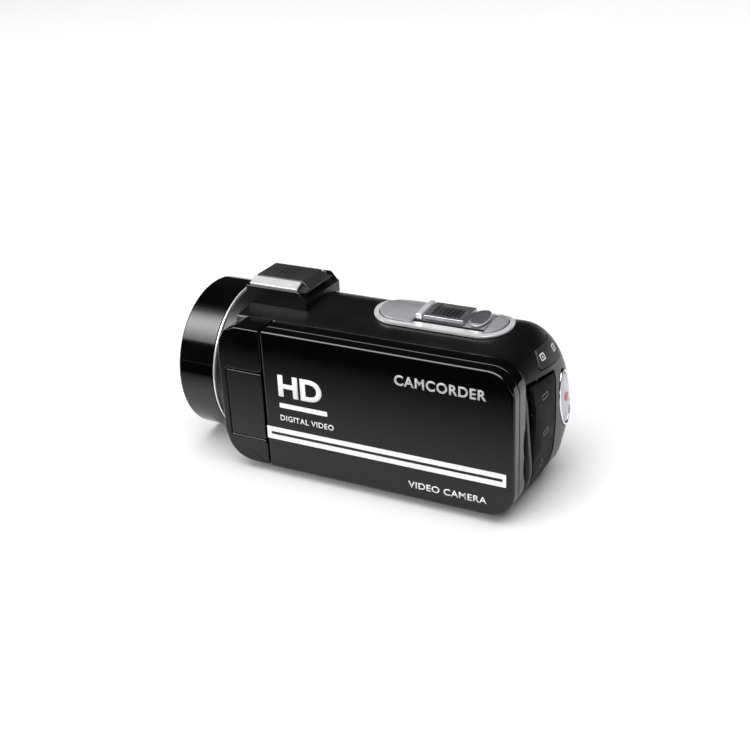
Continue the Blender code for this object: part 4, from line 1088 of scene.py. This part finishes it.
for k in range(1, MM):
    a = math.pi * k / MM
    for i in range(NN):
        t = 2 * math.pi * i / NN
        vs.append((20.0 + 2.8 * math.sin(a) * math.cos(t), 56.4 + 1.6 * math.sin(a) * math.sin(t), -1.5 - 6.2 * math.cos(a)))
vs.append((20.0, 56.4, -1.5 + 6.2))
for i in range(NN):
    j = (i + 1) % NN
    fs.append((0, 1 + j, 1 + i))
    for k in range(MM - 2):
        a, b = 1 + k * NN, 1 + (k + 1) * NN
        fs.append((a + i, a + j, b + j, b + i))
    fs.append((1 + (MM - 2) * NN + i, 1 + (MM - 2) * NN + j, len(vs) - 1))
cut(inner_frame, mesh_obj("cutter", vs, fs), solver='MANIFOLD')
piece(inner_frame, "screen_inner_frame")
glass = soft_prism("screen_glass_panel", rounded((WIN[0][0] + 0.3, WIN[0][1] + 0.3), (WIN[1][0] - 0.3, WIN[1][1] - 0.3), [0.8] * 4, 10), 20.9, 22.1, 'X', M["screen_glass"], r=0, r_lo=0.25)
piece(glass, "screen_glass")

# ================================================================ marks on the screen cover
FACE_X = DOOR_X1


def door_mark(name, outline, mat, thick=0.06, hole_outline=None):
    if hole_outline:
        rings = [[(FACE_X - 0.05, p[0], p[1]) for p in outline], [(FACE_X + thick, p[0], p[1]) for p in outline],
                 [(FACE_X + thick, p[0], p[1]) for p in hole_outline], [(FACE_X - 0.05, p[0], p[1]) for p in hole_outline]]
        v, f = loft(rings, close=True)
    else:
        v, f = loft([[(FACE_X - 0.05, p[0], p[1]) for p in outline], [(FACE_X + thick, p[0], p[1]) for p in outline]])
    obj = mesh_obj(name, v, f, mat)
    piece(obj, None, "screen")
    return obj


def lettering(name, text, y, z, height, mat, width=None, heavy=0.0, align='LEFT', shear=0.0, spacing=1.0):
    """Plain lettering lying on the cover, height in mm, from its lower left corner."""
    cu = bpy.data.curves.new(name, 'FONT')
    cu.body = text
    cu.size = 0.01
    cu.space_character = spacing
    cu.shear = shear
    cu.offset = heavy
    cu.resolution_u = 6
    tmp = bpy.data.objects.new(name, cu)
    scene.collection.objects.link(tmp)
    bpy.context.view_layer.update()
    dg = bpy.context.evaluated_depsgraph_get()
    me = bpy.data.meshes.new_from_object(tmp.evaluated_get(dg))
    bpy.data.objects.remove(tmp, do_unlink=True)
    xs_ = [q.co.x for q in me.vertices]
    ys_ = [q.co.y for q in me.vertices]
    x0, x1, y0, y1 = min(xs_), max(xs_), min(ys_), max(ys_)
    sy = height / (y1 - y0)
    sx = width / (x1 - x0) if width else sy
    bm = bmesh.new()
    bm.from_mesh(me)
    bmesh.ops.remove_doubles(bm, verts=bm.verts, dist=1e-8)
    got = bmesh.ops.extrude_face_region(bm, geom=list(bm.faces))
    top_verts = {g for g in got["geom"] if isinstance(g, bmesh.types.BMVert)}
    for q in bm.verts:
        p = (FACE_X + (0.06 if q in top_verts else -0.05), y + (q.co.x - x0) * sx, z + (q.co.y - y0) * sy)
        q.co = W(p)
    bmesh.ops.recalc_face_normals(bm, faces=bm.faces)
    bm.to_mesh(me)
    bm.free()
    me.materials.clear()
    me.materials.append(mat)
    obj = bpy.data.objects.new(name, me)
    scene.collection.objects.link(obj)
    piece(obj, None, "screen")
    return obj


stripe = fillet([(-27.3, -12.4), (53.6, -12.1), (53.6, -7.8), (-27.3, -8.1)], [0.1, 0.3, 0.3, 0.1], 5)
slot_hole = fillet([(-25.8, -10.75), (52.5, -10.45), (52.5, -9.45), (-25.8, -9.75)], [0.1, 0.2, 0.2, 0.1], 5)
door_mark("stripe_inlay", stripe, FOIL, 0.1, slot_hole)
lettering("mark_hd", "HD", -22.0, 3.2, 7.4, INK, width=15.5, heavy=0.00035)
door_mark("mark_rule_upper", rounded((-22.0, -0.7), (-5.0, 0.9), [0.2] * 4, 4), INK, 0.05)
lettering("mark_small_line", "DIGITAL VIDEO", -22.0, -5.2, 1.9, INK, width=19.0, heavy=0.0001, spacing=1.1)
lettering("mark_word", "CAMCORDER", 18.5, 14.5, 3.4, INK_SILVER, width=29.0, heavy=0.00025, spacing=1.1)
lettering("mark_lower_word", "VIDEO CAMERA", 22.0, -19.1, 2.2, INK, width=25.5, heavy=0.00012, spacing=1.05)

# ================================================================ hand strap
for y, tag in ((-35.5, "front"), (38.5, "rear")):
    lug = fillet([(-25.65, y - 3.2), (-25.65, y + 3.2), (-30.6, y + 2.4), (-30.6, y - 2.4)], [0.2, 0.2, 0.9, 0.9], 6)
    obj = soft_prism("strap_lug_rounded_" + tag, lug, STRAP_Z0 + 1.0, STRAP_Z1 - 1.0, 'Z', M["satin_black"], r=0.6, n=5)
    cut(obj, box_cut((-29.6, y - 5, STRAP_Z0 + 3.0), (-27.6, y + 5, STRAP_Z1 - 3.0)))
    piece(obj, "strap_lug_" + tag)


def strap_path(t):
    y = -41.5 + 86.0 * t
    s = math.sin(math.pi * min(max((t - 0.11) / 0.78, 0.0), 1.0))
    return -28.6 - 9.0 * s ** 0.7, y


def strap_frame(t):
    x, y = strap_path(t)
    h = 0.004
    xa, ya = strap_path(max(t - h, 0))
    xb, yb = strap_path(min(t + h, 1))
    d = Vector((xb - xa, yb - ya)).normalized()
    return x, y, d.y, -d.x


def strap_point(t, off, z):
    x, y, nx, ny = strap_frame(t)
    return (x + nx * off, y + ny * off, z)


Z0, Z1 = STRAP_Z0 + 3.4, STRAP_Z1 - 3.4
rings = []
for i in range(181):
    t = 0.065 + 0.87 * i / 180
    ring_pts = fillet([(-0.55, Z0), (0.55, Z0), (0.55, Z1), (-0.55, Z1)], 0.45, 4)
    pts = []
    for o, z in ring_pts:
        # a woven selvedge: a slightly thicker band near each edge
        e = min(z - Z0, Z1 - z)
        swell = 0.06 * math.exp(-((e - 0.8) / 0.5) ** 2)
        pts.append(strap_point(t, o + (swell if o > 0 else -swell), z))
    rings.append(pts)
v, f = loft(rings)
piece(mesh_obj("strap_band_webbing", v, f, M["strap_webbing"], 45), "strap_band")

# ladder stitching where the band is doubled beside each lug
def stitch(name, points, r, mat, body):
    """A row of short thread loops: each is a small capsule from a to b."""
    verts, faces = [], []
    for a, b in points:
        a, b = Vector(a), Vector(b)
        d = (b - a).normalized()
        side = d.cross(Vector((0, 0, 1)))
        if side.length < 0.3:
            side = d.cross(Vector((1, 0, 0)))
        side.normalize()
        up = side.cross(d)
        base_i = len(verts)
        L = (b - a).length
        stations = ((0.0, 0.25), (0.12, 0.75), (0.5, 1.0), (0.88, 0.75), (1.0, 0.25))
        for s, w in stations:
            for k in range(6):
                t = 2 * math.pi * k / 6
                verts.append(tuple(a + d * L * s + side * r * w * math.cos(t) + up * r * w * math.sin(t)))
        for q in range(len(stations) - 1):
            for k in range(6):
                j = (k + 1) % 6
                faces.append((base_i + q * 6 + k, base_i + q * 6 + j, base_i + (q + 1) * 6 + j, base_i + (q + 1) * 6 + k))
        faces.append(tuple(base_i + k for k in range(6)))
        faces.append(tuple(base_i + (len(stations) - 1) * 6 + k for k in range(6)))
    obj = mesh_obj(name, verts, faces, mat, 60)
    piece(obj, None, body)
    return obj


rows = []
for t0 in (0.125, 0.855):
    for col in (0.0, 0.02):
        z = Z0 + 1.2
        while z < Z1 - 1.6:
            rows.append((strap_point(t0 + col, -0.62, z), strap_point(t0 + col, -0.62, z + 0.9)))
            z += 1.4
stitch("strap_band_stitching", rows, 0.13, THREAD, "camera_body")

# the pad: a crowned, bound and sewn cushion inside the band
T0, T1 = 0.2, 0.8


def pad_edge(t):
    k = abs(2 * (t - T0) / (T1 - T0) - 1) ** 3
    return STRAP_Z0 + 3.0 * k, STRAP_Z1 - 3.0 * k


def pad_surface(s, w, side):
    """A point of the pad: s runs along it, w across it, both -1 to 1; side is 0 at the band and 1 at the hand."""
    t = (T0 + T1) / 2 + (T1 - T0) / 2 * s
    lo, hi = pad_edge(t)
    z = (lo + hi) / 2 + (hi - lo) / 2 * w
    edge = min(1.0, max(0.0, 1 - abs(s) ** 7)) * max(0.0, 1 - abs(w) ** 5)
    pillow = edge ** 0.5
    # three sewn channels across the pad, and a slack between them
    for c in (-0.5, 0.0, 0.5):
        pillow *= 1 - 0.42 * math.exp(-((s - c) / 0.035) ** 2)
    off = 1.05 + 0.25 * (1 - pillow) if side == 0 else 1.6 + 1.75 * pillow
    return strap_point(t, off, z)


NU, NV = 120, 36
verts, faces = [], []
for side in (0, 1):
    for i in range(NU + 1):
        for j in range(NV + 1):
            s = math.sin(math.pi / 2 * (2 * i / NU - 1))
            w = math.sin(math.pi / 2 * (2 * j / NV - 1))
            verts.append(pad_surface(s, w, side))
row = NV + 1
half = (NU + 1) * row
for side in (0, 1):
    for i in range(NU):
        for j in range(NV):
            a = side * half + i * row + j
            faces.append((a, a + 1, a + row + 1, a + row))
for i in range(NU):
    for j in (0, NV):
        a = i * row + j
        faces.append((a, a + row, a + row + half, a + half))
for j in range(NV):
    for i in (0, NU):
        a = i * row + j
        faces.append((a, a + 1, a + 1 + half, a + half))
pad = mesh_obj("strap_pad_sewn", verts, faces, M["strap_fabric"], 60)
piece(pad, "strap_pad")

# binding tape round the pad's rim
path = []
for i in range(161):
    path.append((-1 + 2 * i / 160, -1))
for i in range(1, 41):
    path.append((1, -1 + 2 * i / 40))
for i in range(1, 161):
    path.append((1 - 2 * i / 160, 1))
for i in range(1, 40):
    path.append((-1, 1 - 2 * i / 40))
rings = []
for s, w in path:
    t = (T0 + T1) / 2 + (T1 - T0) / 2 * s
    lo, hi = pad_edge(t)
    z = (lo + hi) / 2 + (hi - lo) / 2 * w
    cu, cw = (1 if abs(s) >= 0.9999 else 0) * math.copysign(1, s), (1 if abs(w) >= 0.9999 else 0) * math.copysign(1, w)
    ring_pts = []
    for k in range(10):
        a = 2 * math.pi * k / 10
        out = 0.42 * math.cos(a)
        off = 1.45 + 0.55 * math.sin(a)
        p = Vector(strap_point(min(max(t + out * cu * 0.8 / 86, 0), 1), off, z + out * cw * 0.8))
        ring_pts.append(tuple(p))
    rings.append(ring_pts)
v, f = loft(rings, close=True)
piece(mesh_obj("strap_pad_binding", v, f, TAPE, 60), None, "camera_body")
rows = []
for c in (-0.5, 0.0, 0.5):
    w = -0.86
    while w < 0.84:
        rows.append((pad_surface(c, w, 1), pad_surface(c, w + 0.07, 1)))
        w += 0.105
stitch("strap_pad_stitching", rows, 0.12, THREAD, "camera_body")

# ================================================================ carried-over CAD nodes
KEEP = {"hinge_bracket": "steel", "swing_pin": "steel", "tilt_shaft": "steel"}
for name, obj in NODES.items():
    mat = M[KEEP.get(name, SLOT_OF[name])]
    if obj.material_slots:
        for s in obj.material_slots:
            s.material = mat
    else:
        obj.data.materials.append(mat)

# ================================================================ floor, lights, camera
def stage_mesh(name, verts, faces, mat):
    me = bpy.data.meshes.new(name)
    me.from_pydata(verts, [], faces)
    me.materials.append(mat)
    obj = bpy.data.objects.new(name, me)
    scene.collection.objects.link(obj)
    return obj


m = Mat("pale_floor", (0.9, 0.9, 0.9)).put(specular_ior_level=0.0)
m.tint((0.885, 0.885, 0.885), (0.905, 0.905, 0.905), 3)
m.rough(0.85, 0.95, 5)
stage_mesh("floor", [(-8, -8, 0), (8, -8, 0), (8, 8, 0), (-8, 8, 0)], [(0, 1, 2, 3)], m.m)

# a dark card lying beside the object, its near edge feathered, seen only in reflections
m = bpy.data.materials.new("dark_card")
m.use_nodes = True
nt = m.node_tree
nt.nodes.remove(nt.nodes["Principled BSDF"])
geo = nt.nodes.new("ShaderNodeNewGeometry")
split = nt.nodes.new("ShaderNodeSeparateXYZ")
feather = nt.nodes.new("ShaderNodeMapRange")
feather.inputs["From Min"].default_value = 0.045
feather.inputs["From Max"].default_value = 0.115
black = nt.nodes.new("ShaderNodeBsdfDiffuse")
black.inputs["Color"].default_value = (0.003, 0.003, 0.003, 1)
clear = nt.nodes.new("ShaderNodeBsdfTransparent")
mix = nt.nodes.new("ShaderNodeMixShader")
nt.links.new(geo.outputs["Position"], split.inputs["Vector"])
nt.links.new(split.outputs["X"], feather.inputs["Value"])
nt.links.new(feather.outputs["Result"], mix.inputs["Fac"])
nt.links.new(clear.outputs["BSDF"], mix.inputs[1])
nt.links.new(black.outputs["BSDF"], mix.inputs[2])
nt.links.new(mix.outputs["Shader"], nt.nodes["Material Output"].inputs["Surface"])
card = stage_mesh("dark_card_side", [(0.04, -1.2, 0.001), (1.4, -1.2, 0.001), (1.4, 0.2, 0.001), (0.04, 0.2, 0.001)], [(0, 1, 2, 3)], m)
card.visible_camera = card.visible_diffuse = card.visible_shadow = card.visible_transmission = False

# a plain pale backdrop, seen by the camera only
m = bpy.data.materials.new("backdrop")
m.use_nodes = True
nt = m.node_tree
nt.nodes.remove(nt.nodes["Principled BSDF"])
em = nt.nodes.new("ShaderNodeEmission")
em.inputs["Color"].default_value = (0.86, 0.86, 0.86, 1)
em.inputs["Strength"].default_value = 1.0
nt.links.new(em.outputs["Emission"], nt.nodes["Material Output"].inputs["Surface"])
dome_v, dome_f = [], []
for k in range(13):
    a = math.radians(-5 + 95 * k / 12)
    for i in range(48):
        t = 2 * math.pi * i / 48
        dome_v.append((6 * math.cos(a) * math.cos(t), 6 * math.cos(a) * math.sin(t), 6 * math.sin(a)))
for k in range(12):
    for i in range(48):
        j = (i + 1) % 48
        dome_f.append((k * 48 + i, k * 48 + j, (k + 1) * 48 + j, (k + 1) * 48 + i))
backdrop = stage_mesh("backdrop_dome", dome_v, dome_f, m)
backdrop.visible_glossy = backdrop.visible_diffuse = backdrop.visible_shadow = backdrop.visible_transmission = False

world = bpy.data.worlds.new("studio")
world.use_nodes = True
world.node_tree.nodes["Background"].inputs["Color"].default_value = (0.5, 0.5, 0.51, 1)
world.node_tree.nodes["Background"].inputs["Strength"].default_value = 0.05
scene.world = world


def area(name, at, target, size, power, size_y=None, glossy=True, diffuse=True):
    li = bpy.data.lights.new(name, 'AREA')
    li.shape = 'RECTANGLE'
    li.size = size
    li.size_y = size_y or size
    li.energy = power
    o = bpy.data.objects.new(name, li)
    scene.collection.objects.link(o)
    o.location = at
    o.rotation_euler = (Vector(target) - Vector(at)).to_track_quat('-Z', 'Y').to_euler()
    o.visible_glossy = glossy
    o.visible_diffuse = diffuse
    return o


MID = (0.0, 0.0, 0.025)
area("overhead_fill", (0, 0, 2.2), MID, 3.4, 95, glossy=False)
area("front_fill", (1.15, -0.45, 0.6), MID, 0.9, 12.0, glossy=False)

# a long curved softbox on the screen's side, feathered across, seen only in reflections
m = bpy.data.materials.new("strip_softbox")
m.use_nodes = True
nt = m.node_tree
nt.nodes.remove(nt.nodes["Principled BSDF"])
geo = nt.nodes.new("ShaderNodeNewGeometry")
split = nt.nodes.new("ShaderNodeSeparateXYZ")
up = nt.nodes.new("ShaderNodeMath")
up.operation = 'SUBTRACT'
up.inputs[1].default_value = 0.025
turn = nt.nodes.new("ShaderNodeMath")
turn.operation = 'ARCTAN2'
span = nt.nodes.new("ShaderNodeMapRange")
span.inputs["From Min"].default_value = math.radians(28)
span.inputs["From Max"].default_value = math.radians(96)
ramp = nt.nodes.new("ShaderNodeValToRGB")
ramp.color_ramp.interpolation = 'LINEAR'
stops = ((0.0, 0.0), (0.044, 0.03), (0.08, 0.34), (0.176, 0.5), (0.324, 0.84), (0.44, 1.0), (0.56, 0.86), (0.68, 0.48), (0.77, 0.14), (0.88, 0.02), (1.0, 0.0))
while len(ramp.color_ramp.elements) < len(stops):
    ramp.color_ramp.elements.new(0.5)
for e, (pos, val) in zip(ramp.color_ramp.elements, stops):
    e.position = pos
    e.color = (val, val, val, 1)
em = nt.nodes.new("ShaderNodeEmission")
em.inputs["Strength"].default_value = 12.0
nt.links.new(geo.outputs["Position"], split.inputs["Vector"])
nt.links.new(split.outputs["Z"], up.inputs[0])
nt.links.new(up.outputs[0], turn.inputs[0])
nt.links.new(split.outputs["X"], turn.inputs[1])
nt.links.new(turn.outputs[0], span.inputs["Value"])
nt.links.new(span.outputs["Result"], ramp.inputs["Fac"])
nt.links.new(ramp.outputs["Color"], em.inputs["Color"])
nt.links.new(em.outputs["Emission"], nt.nodes["Material Output"].inputs["Surface"])
strip_v, strip_f = [], []
for k in range(25):
    a = math.radians(28 + 68 * k / 24)
    for y in (-1.5, 0.45):
        strip_v.append((0.9 * math.cos(a), y, 0.025 + 0.9 * math.sin(a)))
for k in range(24):
    strip_f.append((2 * k, 2 * k + 1, 2 * k + 3, 2 * k + 2))
strip = stage_mesh("strip_softbox", strip_v, strip_f, m)
strip.visible_camera = strip.visible_diffuse = strip.visible_shadow = strip.visible_transmission = False

AZ, EL, ROLL = math.radians(118.44), math.radians(25.23), math.radians(-2.61)
b = Vector((math.sin(AZ) * math.cos(EL), -math.cos(AZ) * math.cos(EL), math.sin(EL)))
Rv = Vector((math.cos(AZ), math.sin(AZ), 0))
U = b.cross(Rv)
R2 = Rv * math.cos(ROLL) + U * math.sin(ROLL)
U2 = -Rv * math.sin(ROLL) + U * math.cos(ROLL)
C = W(Vector((0, -4.02, 0.48)) + b * 393.55)
cam_data = bpy.data.cameras.new("camera")
cam_data.lens = 58.17
cam_data.sensor_width = 36.0
cam_data.clip_start = 0.01
cam = bpy.data.objects.new("camera", cam_data)
scene.collection.objects.link(cam)
cam.matrix_world = Matrix(((R2.x, U2.x, b.x, C.x), (R2.y, U2.y, b.y, C.y), (R2.z, U2.z, b.z, C.z), (0, 0, 0, 1)))
scene.camera = cam
scene.view_settings.view_transform = 'Standard'
